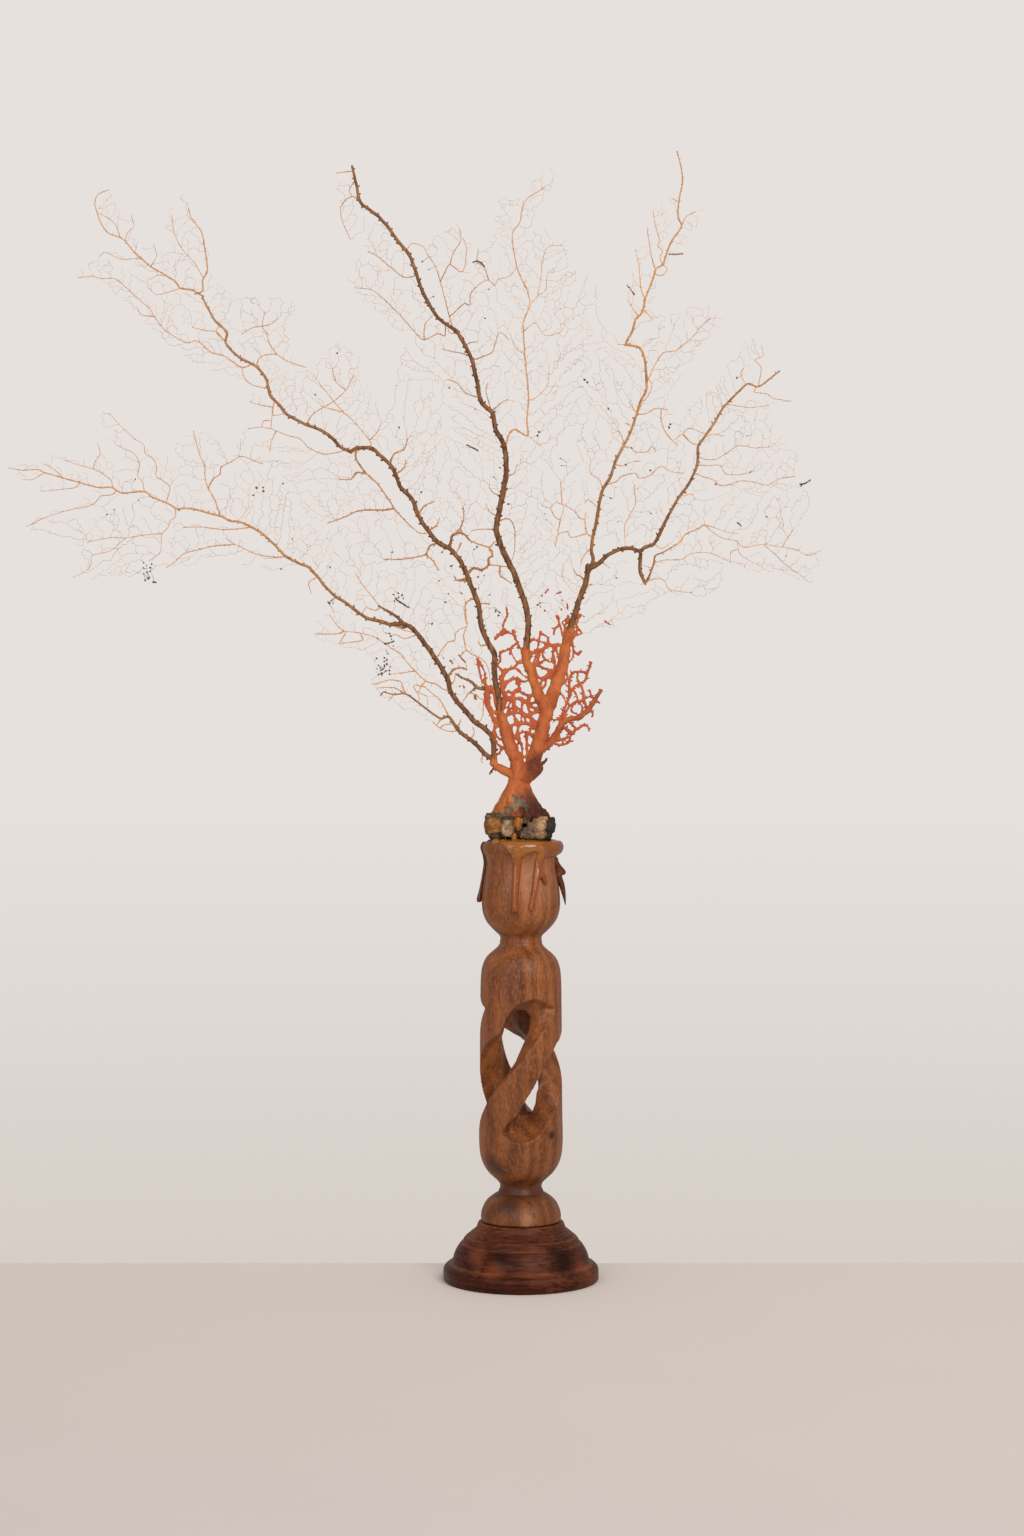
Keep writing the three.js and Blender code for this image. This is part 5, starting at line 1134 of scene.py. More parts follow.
def addStem(shell, line, profile, sides, tones, dice, nubEvery, nubLength, step=1.3, rough=0.1):
    # A knotty tapering stem, from its first tone to its second, with thorny nubs left by broken twigs
    points = curved(line, step, 0.42)
    radii = radiiAlong(points, profile)
    seed = dice.random() * 50
    for i, point in enumerate(points):
        radii[i] *= 1 + rough * 1.6 * noise.noise(Vector((i * 0.33, seed, 0)))
        if 0 < i < len(points) - 1:
            sway = Vector((noise.noise(Vector((i * 0.21, seed, 3))), noise.noise(Vector((i * 0.17, seed, 7))),
                           noise.noise(Vector((i * 0.21, seed, 11)))))
            points[i] = point + sway * min(0.45, radii[i] * 0.35)
    count = len(points)
    shades = [lerped(tones[0], tones[1], i / max(count - 1, 1)) for i in range(count)]
    rings = ringsAlong(points, radii, sides)
    tip = points[-1] + (points[-1] - points[-2]).normalized() * radii[-1] * 0.6
    rings += ringsAlong([points[-1], tip], [radii[-1], radii[-1] * 0.45], sides)[1:]
    shell.loft(rings, shades + [tones[1]])
    travelled, due, sign = 0, nubEvery * 0.6, 1
    for i in range(1, count - 1):
        travelled += (points[i] - points[i - 1]).length
        if travelled < due:
            continue
        travelled, due = 0, nubEvery * dice.uniform(0.45, 1.5)
        sign = -sign if dice.random() < 0.7 else sign
        tangent = (points[i + 1] - points[i - 1]).normalized()
        outward = Vector((tangent.z, 0, -tangent.x)) * sign
        lean = outward + tangent * dice.uniform(0.1, 0.9) + Vector((0, dice.uniform(-0.7, 0.7), 0))
        lean.normalize()
        reach = nubLength * dice.uniform(0.4, 1.2)
        wide = min(radii[i] * 0.8, 1.05) * dice.uniform(0.7, 1.15)
        foot = points[i] + lean * radii[i] * 0.35
        bend = (lean + tangent * 0.5).normalized()
        elbow = foot + lean * (radii[i] * 0.65 + reach * 0.45)
        nub = [foot, elbow, elbow + bend * reach * 0.55]
        shell.loft(ringsAlong(nub, [wide, wide * 0.8, wide * 0.55], 5), shades[i])
    return points


# Holdfast, thick orange stems and the coarse orange net between them

trunkLook = {
    "coral": (rgb(164, 84, 44), rgb(204, 120, 66)), "red": rgb(182, 82, 54), "ochre": rgb(214, 148, 72),
    # the pit colour is painted shade for the small pits of the crust
    "pitShade": rgb(112, 44, 26), "bark": (rgb(42, 24, 17), rgb(112, 58, 34)),
    "grey": (rgb(52, 43, 34), rgb(134, 118, 98)),
    "voxel": 0.46, "smoothing": 2, "netRadius": (1, 0.85), "spurEvery": 2.4, "spurLength": 1.8,
    "webRadius": 0.9, "joinReach": 4.6,
    # the net is thinner by this share in its thin twigs and in all above this height
    "thin": 0.76, "thinAbove": 428,
    # radii along each thick stem
    "stems": [(5, 4.8, 4.6, 4.2, 2.8), (5.2, 4.9, 4.7, 4.5, 4.4, 3.7, 2.9), (4.2, 4, 3.4, 3, 3.1, 2.5),
              (3.6, 2.4)],
    # brown spots, as place, reach and soft edge: face of the stub, its twig, the spur on the left, a knot
    "stubFace": ((12.6, -9, 351.4), 12.5, 5), "twigEnd": ((16.8, -5.4, 354), 3.6, 0.8),
    "spurEnd": ((-20.8, 0, 346.4), 3.2, 1), "knot": ((25, -2.6, 387.4), 3.6, 1.4),
    # grey patches on the skirt, and the pale broken face on the stub
    "patches": ((-3.2, -10.5, 326.6), (-7.4, -14, 320.4), (1.4, -13, 323.4)),
    "paleFace": ((13.6, -12.4, 350.6), 2.3, 1),
    # broken stub in front of the fork: points and radii
    "stub": [(1.6, -1.6, 343, 6), (5.4, -4, 346.4, 6.5), (9.2, -6, 349.4, 6.2), (12.2, -7.6, 351.4, 5.2)],
    "stubTwig": [(12.4, -5, 351, 1.8), (15.6, -5.4, 352.8, 1.3), (17.2, -5.6, 354.6, 0.9),
                 (17.6, -5.4, 356, 0.7)],
    # thick web between the stems, as routes
    "webs": [
        "-22.3,404.6 -22.8,398.9 -22.3,393.3 -20.6,386.4 -18.3,381.9 -14.3,379.6 -10.3,375.1",
        "-22.3,404.6 -19.4,402.4 -17.7,397.8 -17.2,392.1 -14.3,386.4",
        "-16.6,377.4 -18.9,372.8 -16.6,366 -12,363.7",
        "-13.2,412.6 -8.6,416 -3,417.1 1.6,412.6 5,408",
        "-13.2,412.6 -13.2,404.6 -12,396.7 -13.2,388.7",
        "-12,404.6 -7.5,409.2 -3,410.3 1.6,408 6.1,409.2",
        "-12,396.7 -9.8,401.2 -5.2,400.1 -0.7,401.2 1.6,404.6",
        "-12,396.7 -5.2,396.7 0.5,395.5 6.1,393.3 12,394",
        "-5.2,396.7 -4.1,391 -5.2,385.3 -1.8,379.6 -3,371.7",
        "1,395.5 0.5,388.7 2.7,381.9 3.9,379.6",
        "6.1,400.1 5,391 7.3,381.9 6.1,372.8 8.4,370.5",
        "-10.9,386.4 -5.2,387 -0.7,386.4 5,385.3 12,387",
        "-0.7,377.4 3.9,379.6 8.4,376.2 13,377",
        "7.3,417.1 10.7,419.4 16.4,417.1 22.1,416 27,417",
        "4,430 8.4,428.5 13,429.6 17.5,431.9 22.1,433 27.7,433",
        "13,429.6 11.8,424 10.7,419.4",
        "22.1,433 22.1,427.4 23.2,420.5 22.1,413.7 19.8,410.3",
        "10.7,414.9 13,410.3 16.4,411.5 19.8,410.3 24,411",
        "19.8,410.3 16.6,405.6 13.6,402 11.6,399",
    ],
    # branches whose feet the crust runs up, with the radius that it lies on
    "crustEnds": {"left_branch": 2.1, "middle_branch": 2, "right_branch": 2.1, "far_left_branch": 1.7},
    # skirt: height, radius, middle
    "skirt": [(309, 8, -1), (311, 14, -1.4), (314.6, 18.2, -1.5), (318, 19, -1.2), (321.4, 17.2, -1.8),
              (325, 14.9, -2.1), (328.5, 12.7, -2.1), (332, 10.7, -2.1), (335.4, 8.8, -1.9),
              (338.7, 7.5, -1.7), (342, 7.3, -0.8), (346, 6.6, 0.4), (349, 4, 1)],
}


def skirtRings():
    rings = []
    levels = [Vector(level) for level in trunkLook["skirt"]]
    for level in curved(levels, 1.1):
        z, r, middle = level
        ring = []  # three lobes, seven and thirteen, all stronger toward the stones
        flare = max(0, min(1, (333 - z) / 16))
        for k in range(56):
            turn = 2 * math.pi * k / 56
            lobes = 1 + flare * (0.07 * math.sin(3 * turn + 0.5) + 0.06 * math.sin(7 * turn + z * 0.12)
                                 + 0.035 * math.sin(13 * turn + 2)) + 0.02 * math.sin(5 * turn + z * 0.3)
            ring.append((middle + r * lobes * math.cos(turn), 0.86 * r * lobes * math.sin(turn),
                         z - flare * 1.6 * math.sin(2 * turn + 1.1)))
        rings.append(ring)
    return rings


def closeTo(at, spot, ragged=0.0):
    # 1 within reach of a spot, fading out over its soft edge
    place, reach, soft = spot
    return held((reach - (at - Vector(place)).length + ragged) / soft)


def trunkTone(at):
    # red share (below nought: ochre), brown share, grey share
    red = held(abs(noise.noise(at / 9)) * 1.2)
    wave, fleck = noise.noise(at / 4), noise.noise(at / 1.7)
    low = held((337 - at.z + 3 * wave) / 9)
    brown = low * held((at.x + 3.5 + 4 * wave + 2 * fleck) / 5)
    ochre = low * held((-5.5 - at.x + 3 * wave) / 4) * held((4 - at.y) / 5)
    brown = max(brown, held((319.5 - at.z + 3 * fleck) / 4) * 0.9)
    stub = closeTo(at, trunkLook["stubFace"], 1.6 * fleck) * held(-at.y / 3) * held((at.x - 1) / 3)
    brown = max(brown, stub * 0.8, closeTo(at, trunkLook["twigEnd"]),
                closeTo(at, trunkLook["spurEnd"], fleck), closeTo(at, trunkLook["knot"], 1.6 * fleck))
    near = min((at - Vector(place)).length for place in trunkLook["patches"]) + 4.4 * wave + 3.4 * fleck
    grey = held((4.6 - near) / 2)
    pale = closeTo(at, trunkLook["paleFace"], 1.1 * fleck)
    red = red * (1 - ochre) - ochre * held(0.9 + 1.2 * fleck)
    return red, brown * (1 - pale), max(grey, pale * 1.4)


def coralCrust():
    paint = Paint("orange_coral_crust")
    red, brown, grey = paint.tones(3)
    cells = paint.node("TexVoronoi", {"feature": "F1"}, {"Vector": paint.place((1, 1, 1)), "Scale": 1150.0,
                                                         "Randomness": 1.0})
    patch = paint.grains((120, 120, 70), 3, 0.6)
    fine = paint.grains((1400, 1400, 1400), 2, 0.6)
    colour = paint.mixed(paint.ramp(patch, (0.36, 0), (0.64, 1)), *trunkLook["coral"])
    colour = paint.mixed(red * 0.55, colour, trunkLook["red"])
    colour = paint.mixed(red * -0.85, colour, trunkLook["ochre"])
    # painted shade: the small pits of the crust are darker
    pitShade = paint.ramp(cells, (0.1, 1), (0.3, 0))
    colour = paint.mixed(pitShade * 0.4, colour, trunkLook["pitShade"])
    bark = paint.mixed(paint.ramp(patch + fine * 0.4, (0.5, 0), (0.86, 1)), *trunkLook["bark"])
    colour = paint.mixed(brown, colour, bark)
    dusty = paint.mixed(paint.ramp(fine * 0.5 + patch * 0.5, (0.4, 0), (0.6, 1)), *trunkLook["grey"])
    colour = paint.mixed(grey, colour, dusty)
    bumps = paint.bump(cells * 0.8 + fine * 0.4 + patch * 0.5, 0.35, 0.75)
    return paint.surface(Base_Color=colour, Roughness=0.8, Normal=bumps, Specular_IOR_Level=0.3)


stemTone, netTone = (0, 0, 0), (1, 0, 0)


def joined(lines, line, reach):
    # A twig with its ends on the lines nearby, or led to the nearest line if neither is
    ends = [nearestOn(lines, line[end], reach) for end in (0, -1)]
    line[0], line[-1] = ends[0] or line[0], ends[1] or line[-1]
    foot = None if any(ends) else nearestOn(lines, line[0], 15)
    return [foot] + line if foot else line


def netShell(name, dice, linesBefore=()):
    # The coarse orange twigs of one branch, and the lines that further twigs may join
    shell = Shell()
    lines = list(linesBefore)
    wide, narrow = trunkLook["netRadius"]
    profile = [(0, wide * 1.7), (0.12, wide * 1.1), (0.3, wide * 0.9), (0.8, narrow), (1, narrow * 1.1)]
    for route in twigRoutes[name] + thinTwigs[name]:
        line = joined(lines, onFan(spots(route)), trunkLook["joinReach"])
        lines.append(line)
        thin = route in thinTwigs[name] or line[0].z > trunkLook["thinAbove"]
        share = trunkLook["thin"] if thin else 1
        addStem(shell, line, [(s, r * share) for s, r in profile], 9, (netTone, netTone), dice,
                trunkLook["spurEvery"], trunkLook["spurLength"], 1.1, 0.18)
    return shell, lines


def crustEdges(shell, dice):
    # Ragged fingers of crust that run a little way up the bare brown branches
    for name, radius in trunkLook["crustEnds"].items():
        line = curved(onFan(spots(stemRoutes[name][0])), 1, 0.42)
        for k in range(7):
            turn = 2 * math.pi * (k + dice.random() * 0.6) / 7
            side = Vector((math.cos(turn), math.sin(turn), 0)) * radius
            path = [p + side for p in line[:dice.randint(3, 9)]]
            first = line[0] - (line[1] - line[0]) * 3
            path = [first + side] + path
            radii = [1.3 - 0.85 * i / len(path) for i in range(len(path))]
            shell.loft(ringsAlong(path, radii, 7))


def trunkLift(at):
    # Fine grain everywhere and coarse lumps low down on the skirt
    lumps = 0.3 + 0.9 * held((332 - at.z) / 8)
    return 0.16 * noise.noise(at / 0.9) + lumps * noise.noise(at / 3.4) + 0.04


def grownTrunk():
    dice = random.Random(5)
    lines = []
    thick = Shell()
    for route, radii in zip(stemRoutes["trunk"], trunkLook["stems"]):
        line = onFan(spots(route))
        lines.append(line)
        profile = [(i / (len(radii) - 1), r) for i, r in enumerate(radii)]
        addStem(thick, line, profile, 16, (stemTone, stemTone), dice, 4.5, 0.9, 1.4, 0.12)
    for part in ("stub", "stubTwig"):
        thick.loft(beadsAlong(trunkLook[part], 1, 14))
    crustEdges(thick, dice)
    thick.loft(skirtRings())
    for k in range(9):  # knuckles where the skirt grips the stones
        turn = 2 * math.pi * (k + 0.3) / 9
        reach = 15.5 + 2.2 * dice.random()
        foot = Vector((-1.4 + reach * math.cos(turn), 0.86 * reach * math.sin(turn),
                       318 - 2.6 * dice.random()))
        top = Vector((-2 + 9 * math.cos(turn), 7.4 * math.sin(turn), 329))
        swell = dice.uniform(2.1, 3.1)
        line = [top, foot.lerp(top, 0.45), foot, foot - Vector((0, 0, 3))]
        thick.loft(ringsAlong(line, [2, 2.6, swell, swell * 0.6], 10))
    net, lines = netShell("trunk", dice, lines)
    thick.add(net.points, net.faces, netTone)
    for number, route in enumerate(trunkLook["webs"]):
        line = joined(lines, onFan(spots(route)), trunkLook["joinReach"])
        web = trunkLook["webRadius"] * (1.6 if number < 2 else 1)  # the first two are the thickest
        addStem(thick, line, [(0, web * 1.5), (0.2, web), (0.8, web * 0.85), (1, web * 1.3)], 9,
                (netTone, netTone), dice, 3.4, 1.4, 1.1, 0.25)
    piece = thick.build("orange_trunk_and_net")
    remeshed(piece, trunkLook["voxel"], trunkLook["smoothing"])
    pushed(piece, trunkLift)
    return piece, lines


trunkPiece, trunkLines = grownTrunk()
thickTree = treeOf([p for line in trunkLines[:len(stemRoutes["trunk"])] for p in curved(line, 1.5)])


def trunkToneFull(at):
    # The thin net is redder than the thick stems
    red, brown, grey = trunkTone(at)
    if at.z > 347:
        red = min(1, max(0, (thickTree.find(at)[2] - 3.6) / 2.6) * 0.85 + red * 0.25)
    else:
        red *= 0.3
    return red, brown, grey


toneRepainted(trunkPiece, trunkToneFull)
crust = coralCrust()
installed(trunkPiece, crust, "coral_crust", "trunk")
print("trunk grown:", len(trunkPiece.data.polygons), "faces")


# The thorny branches, their twigs and the lace grown from them

fanLook = {
    "seed": 11, "nubLength": 1.4, "footOverlap": 2.2, "joinReach": 4.2,
    "umber": (rgb(82, 49, 26), rgb(142, 96, 56)), "tan": (rgb(186, 126, 66), rgb(226, 172, 112)),
}

branchLook = {
    # profile: (share, radius) along each stem in turn; tones: tan share at foot and tip;
    # twig: radius at foot and tip; nubs: spacing in millimetres
    "left_branch": {"profile": [[(0, 2.3), (0.15, 1.9), (0.5, 1.6), (0.8, 1.35), (1, 1.15)]],
        "tones": (0, 0.12), "twig": (0.74, 0.36), "nubs": 3.5},
    "left_upper_branch": {"profile": [[(0, 1.1), (0.3, 1), (0.6, 0.88), (0.85, 0.8), (1, 0.6)]],
        "tones": (0.12, 0.4), "twig": (0.42, 0.22), "nubs": 4.2},
    "left_end_spray": {"profile": [[(0, 0.55), (0.5, 0.42), (1, 0.26)], [(0, 0.5), (0.6, 0.4), (1, 0.26)]],
        "tones": (0.45, 0.75), "twig": (0.3, 0.18), "nubs": 5.2},
    "middle_branch": {"profile": [[(0, 2.2), (0.1, 2), (0.35, 1.95), (0.6, 1.75), (0.8, 1.45), (1, 1.2)]],
        "tones": (0, 0.05), "twig": (0.45, 0.24), "nubs": 3.5},
    "middle_upper_branch": {"profile": [[(0, 1.2), (0.4, 1.18), (0.85, 1.08), (1, 0.82)]],
        "tones": (0.05, 0.15), "twig": (0.42, 0.22), "nubs": 3.9},
    "middle_side_branch": {"profile": [[(0, 0.6), (0.3, 0.46), (0.7, 0.36), (1, 0.24)]],
        "tones": (0.55, 0.9), "twig": (0.28, 0.17), "nubs": 6.5},
    "right_branch": {"profile": [[(0, 2.3), (0.3, 2), (1, 1.75)]],
        "tones": (0, 0.05), "twig": (0.6, 0.35), "nubs": 3.2},
    "right_upper_branch": {"profile": [[(0, 1.2), (0.3, 1.05), (0.5, 0.8), (0.8, 0.76), (1, 0.6)]],
        "tones": (0.1, 0.6), "twig": (0.44, 0.22), "nubs": 4.4},
    "right_upper_tip": {"profile": [[(0, 0.6), (0.6, 0.5), (1, 0.4)]],
        "tones": (0.55, 0.5), "twig": (0.4, 0.24), "nubs": 5.2},
    "right_arch_branch": {"profile": [[(0, 1.6), (0.1, 1.35), (0.22, 1.25), (0.4, 0.95), (0.7, 0.82),
                        (1, 0.5)]],
        "tones": (0, 0.4), "twig": (0.34, 0.2), "nubs": 3.9},
    "hook_branch": {"profile": [[(0, 1.3), (0.22, 1.15), (0.36, 0.7), (0.6, 0.5), (1, 0.4)]],
        "tones": (0.05, 0.75), "twig": (0.32, 0.18), "nubs": 4.7},
    "far_left_branch": {"profile": [[(0, 1.9), (0.12, 1.7), (0.35, 1.6), (0.5, 1.05), (0.65, 0.88),
                        (0.85, 0.72), (1, 0.6)]],
        "tones": (-0.3, 0.62), "twig": (0.48, 0.24), "nubs": 3.9},
    "far_left_tip": {"profile": [[(0, 0.6), (0.4, 0.5), (0.8, 0.34), (1, 0.22)]],
        "tones": (0.55, 0.9), "twig": (0.32, 0.17), "nubs": 5.7},
    "left_low_spray": {"profile": [[(0, 1.7), (0.3, 1.3), (0.5, 0.75), (1, 0.42)]],
        "tones": (0.02, 0.3), "twig": (0.5, 0.3), "nubs": 3.9},
}

laceLook = {
    "colours": (rgb(190, 146, 98), rgb(228, 192, 148)),
    "step": 2.5, "reach": 24, "spent": 2.7, "radius": (0.1, 0.26), "shrink": 0.68, "crossLinks": 0.26,
    "seedEvery": 7, "root": (5, 330), "rounds": 150,
    # outline of each area that holds fine net, and the spacing of its tips
    "areas": [
        ("-200,516 -205,548 -190,560 -214,580 -224,580 -240,562 -262,574 -284,592 -290,590 "
         "-276,562 -312,562 -346,558 -348,548 -300,536 -250,528", 5.4),
        ("-150,487 -200,510 -250,524 -300,532 -338,510 -300,500 -304,478 -290,476 -250,480 "
         "-205,492 -160,482", 5.6),
        ("-50,408 -75,447 -110,458 -150,492 -200,520 -190,560 -150,560 -100,545 -85,525 -60,500 "
         "-45,485 -38,465 -32,440 -40,424", 5.2),
        ("-50,398 -60,378 -98,396 -104,410 -102,425 -146,436 -142,448 -126,458 -100,450 -80,444 "
         "-62,425", 5.6),
        ("-100,568 -85,580 -98,602 -108,626 -120,642 -136,628 -150,622 -160,648 -150,664 -174,662 "
         "-192,652 -198,640 -180,620 -172,605 -160,592 -130,578 -118,568", 4.8),
        ("-190,620 -212,660 -235,677 -262,700 -287,699 -301,684 -284,676 -262,656 -246,638 "
         "-222,626 -200,616", 5.0),
        ("-196,614 -222,622 -246,636 -226,646 -206,636 -186,606 -188,596 -176,600", 5.4),
        ("-216,668 -232,682 -262,703 -288,724 -286,741 -278,739 -266,722 -256,706 -240,700 "
         "-240,728 -228,742 -222,730 -210,702 -208,680", 5.4),
        ("-212,662 -202,677 -180,668 -165,669 -150,661 -172,650 -196,642", 5.2),
        ("-117,560 -146,564 -188,577 -202,562 -176,548 -140,546 -120,552", 5.4),
        ("-48,510 -64,516 -86,556 -100,567 -92,592 -76,600 -88,622 -80,638 -58,642 -42,640 -34,612 "
         "-24,590 -14,572 -13,540 -18,514 -30,508", 4.8),
        ("-28,450 -38,485 -48,498 -20,505 -6,484 2,462 3,440 -8,446 -22,434", 5.0),
        ("-45,645 -62,640 -84,646 -114,670 -118,682 -106,700 -124,728 -128,752 -116,756 -109,736 "
         "-95,722 -76,696 -66,668", 4.8),
        ("-40,642 -50,656 -60,690 -64,708 -44,722 -36,712 -24,698 -16,742 0,736 8,752 20,760 "
         "24,748 8,722 16,707 34,710 34,692 50,684 58,640 52,600 34,578 17,565 4,573 -10,574 "
         "-20,592 -30,612 -35,632", 4.5),
        ("-10,570 -7,540 -13,514 -4,490 5,462 14,452 30,454 38,470 45,490 47,520 54,548 44,566 "
         "30,558 16,564", 5.0),
        ("48,500 50,530 60,550 72,575 80,600 83,628 73,640 58,648 48,628 44,600 34,578 42,558", 5.8),
        ("56,538 62,550 75,580 88,608 87,640 96,660 126,668 142,656 128,640 112,620 101,600 "
         "100,585 94,570 92,550 80,530 62,502 52,512", 5.0),
        ("79,640 71,646 72,690 84,708 92,738 105,742 108,722 128,736 119,714 104,698 96,680 90,660", 5.6),
        ("91,505 108,535 120,560 124,577 141,598 160,612 168,640 156,646 138,622 118,602 104,590 "
         "94,570 86,545 73,520 66,502", 5.4),
        ("121,555 125,575 150,604 188,603 172,590 186,570 196,560 178,552 194,545 202,530 188,506 "
         "206,498 206,488 200,474 180,480 160,484 140,490 128,497 100,499 112,532", 4.9),
        ("84,477 92,492 112,508 126,515 124,500 146,489 128,464 100,466", 5.4),
        ("47,488 56,490 80,494 80,480 92,458 62,438 52,450", 7.5),
        ("-18,362 -30,385 -48,403 -50,430 -40,445 -28,450 -24,430 -18,410 -15,385", 5.2),
        ("-126,560 -150,548 -176,545 -160,528 -120,515 -100,520 -96,540", 4.6),
    ],
}


def gorgonAxis():
    # Horny brown stems that turn tan and then pale toward the tips
    paint = Paint("horny_fan_stems")
    tan = paint.tones(1)[0]
    streaks = paint.grains((520, 520, 160), 3, 0.6)
    fine = paint.grains((2200, 2200, 2200), 2, 0.6)
    patch = paint.grains((70, 70, 70), 2, 0.5)
    streaked = paint.ramp(streaks, (0.35, 0), (0.65, 1))
    share = paint.ramp(tan + patch * 0.3 - 0.15, (0.06, 0), (0.6, 1))
    umber, pale = paint.mixed(streaked, *fanLook["umber"]), paint.mixed(streaked, *fanLook["tan"])
    colour = paint.mixed(share, umber, pale)
    gloss = paint.ramp(patch, (0.3, 0.5), (0.7, 0.72))
    bumps = paint.bump(streaks + fine * 0.5, 0.18, 0.7)
    return paint.surface(Base_Color=colour, Roughness=gloss, Normal=bumps, Specular_IOR_Level=0.3)


def laceTwigs():
    paint = Paint("pale_lace_twigs")
    patch = paint.grains((60, 60, 60), 2, 0.5)
    fine = paint.grains((900, 900, 900), 2, 0.6)
    colour = paint.mixed(paint.ramp(patch + fine * 0.25, (0.45, 0), (0.75, 1)), *laceLook["colours"])
    bumps = paint.bump(fine, 0.08, 0.5)
    return paint.surface(Base_Color=colour, Roughness=0.7, Normal=bumps, Specular_IOR_Level=0.3)


def inside(outline, x, z):
    # Whether a ray from the place to the right leaves the outline an odd number of times
    hit = False
    for (x0, z0), (x1, z1) in zip(outline, outline[1:] + outline[:1]):
        if (z0 > z) != (z1 > z) and x < x0 + (x1 - x0) * (z - z0) / (z1 - z0):
            hit = not hit
    return hit


def lacePoints(dice):
    # Points that the lace grows toward, scattered over the areas that hold it
    taken = {}  # points found so far, by cells of 6 mm
    found = []
    for route, spacing in laceLook["areas"]:
        outline = spots(route)
        spacing *= laceLook["shrink"]
        xs, zs = [p[0] for p in outline], [p[1] for p in outline]
        tries = int((max(xs) - min(xs)) * (max(zs) - min(zs)) / spacing ** 2 * 5)
        for _ in range(tries):
            x, z = dice.uniform(min(xs), max(xs)), dice.uniform(min(zs), max(zs))
            cell = (int(x // 6), int(z // 6))
            near = [p for i in (-1, 0, 1) for k in (-1, 0, 1)
                    for p in taken.get((cell[0] + i, cell[1] + k), [])]
            if any(math.hypot(x - a, z - b) < 0.72 * spacing for a, b in near) or not inside(outline, x, z):
                continue
            taken.setdefault(cell, []).append((x, z))
            found.append((x, z))
    return found


def outwardAt(x, z):
    return (Vector((x, z)) - Vector(laceLook["root"])).normalized()


def grownLace(lines, dice):
    # Lace nodes as [x, z, parent, piece, drift]; they grow from the stems toward free points
    # that lie ahead of them, away from the fan's root
    nodes = []
    for name, line in lines:
        travelled = dice.uniform(0, laceLook["seedEvery"])
        for a, b in zip(line, line[1:]):
            travelled += (b - a).length
            if travelled > laceLook["seedEvery"]:
                travelled = dice.uniform(-2.5, 2.5)
                nodes.append([b.x, b.z, -1, name, 0.0])
    firstGrown = len(nodes)
    goals = [[x, z, -1, 1e9] for x, z in lacePoints(dice)]  # each with its nearest node and the gap to it
    spread = [[] for _ in nodes]  # directions in which each node has grown
    fresh = list(range(len(nodes)))
    step = laceLook["step"]
    for _ in range(laceLook["rounds"]):
        tree = KDTree(len(fresh))
        for i in fresh:
            tree.insert((nodes[i][0], nodes[i][1], 0), i)
        tree.balance()
        left = []
        for goal in goals:
            covered = False
            for _, i, gap in tree.find_n((goal[0], goal[1], 0), 3):
                covered = covered or gap < laceLook["spent"]
                away = outwardAt(*nodes[i][:2])
                ahead = (goal[0] - nodes[i][0]) * away.x + (goal[1] - nodes[i][1]) * away.y
                if gap < goal[3] and ahead > 0.1 * gap:
                    goal[2], goal[3] = i, gap
                    break
            if not covered:
                left.append(goal)
        goals = left
        pulls = {}
        for x, z, i, gap in goals:
            if gap < laceLook["reach"]:
                pull = pulls.setdefault(i, Vector((0, 0)))
                pull += Vector((x - nodes[i][0], z - nodes[i][1])) / gap
        fresh = []
        for i, pull in pulls.items():
            x, z, parent, name, drift = nodes[i]
            heading = pull.normalized() * 0.9 + outwardAt(x, z) * 0.2
            if parent >= 0:
                heading += Vector((x - nodes[parent][0], z - nodes[parent][1])) * 0.4 / step
            bend = 0.52 if drift > 0 else -0.52  # the threads zigzag from node to node
            turn = math.atan2(heading.y, heading.x) + dice.gauss(bend, 0.24)
            if len(spread[i]) > 2 or any(abs(math.remainder(turn - t, 2 * math.pi)) < 0.7 for t in spread[i]):
                continue
            spread[i].append(turn)
            length = step * dice.uniform(0.75, 1.2)
            x, z = x + length * math.cos(turn), z + length * math.sin(turn)
            drift = -drift * 0.9 + dice.gauss(0, 0.3)
            fresh.append(len(nodes))
            nodes.append([x, z, i, name, drift])
            spread.append([])
        if not fresh:
            break
    return nodes, firstGrown


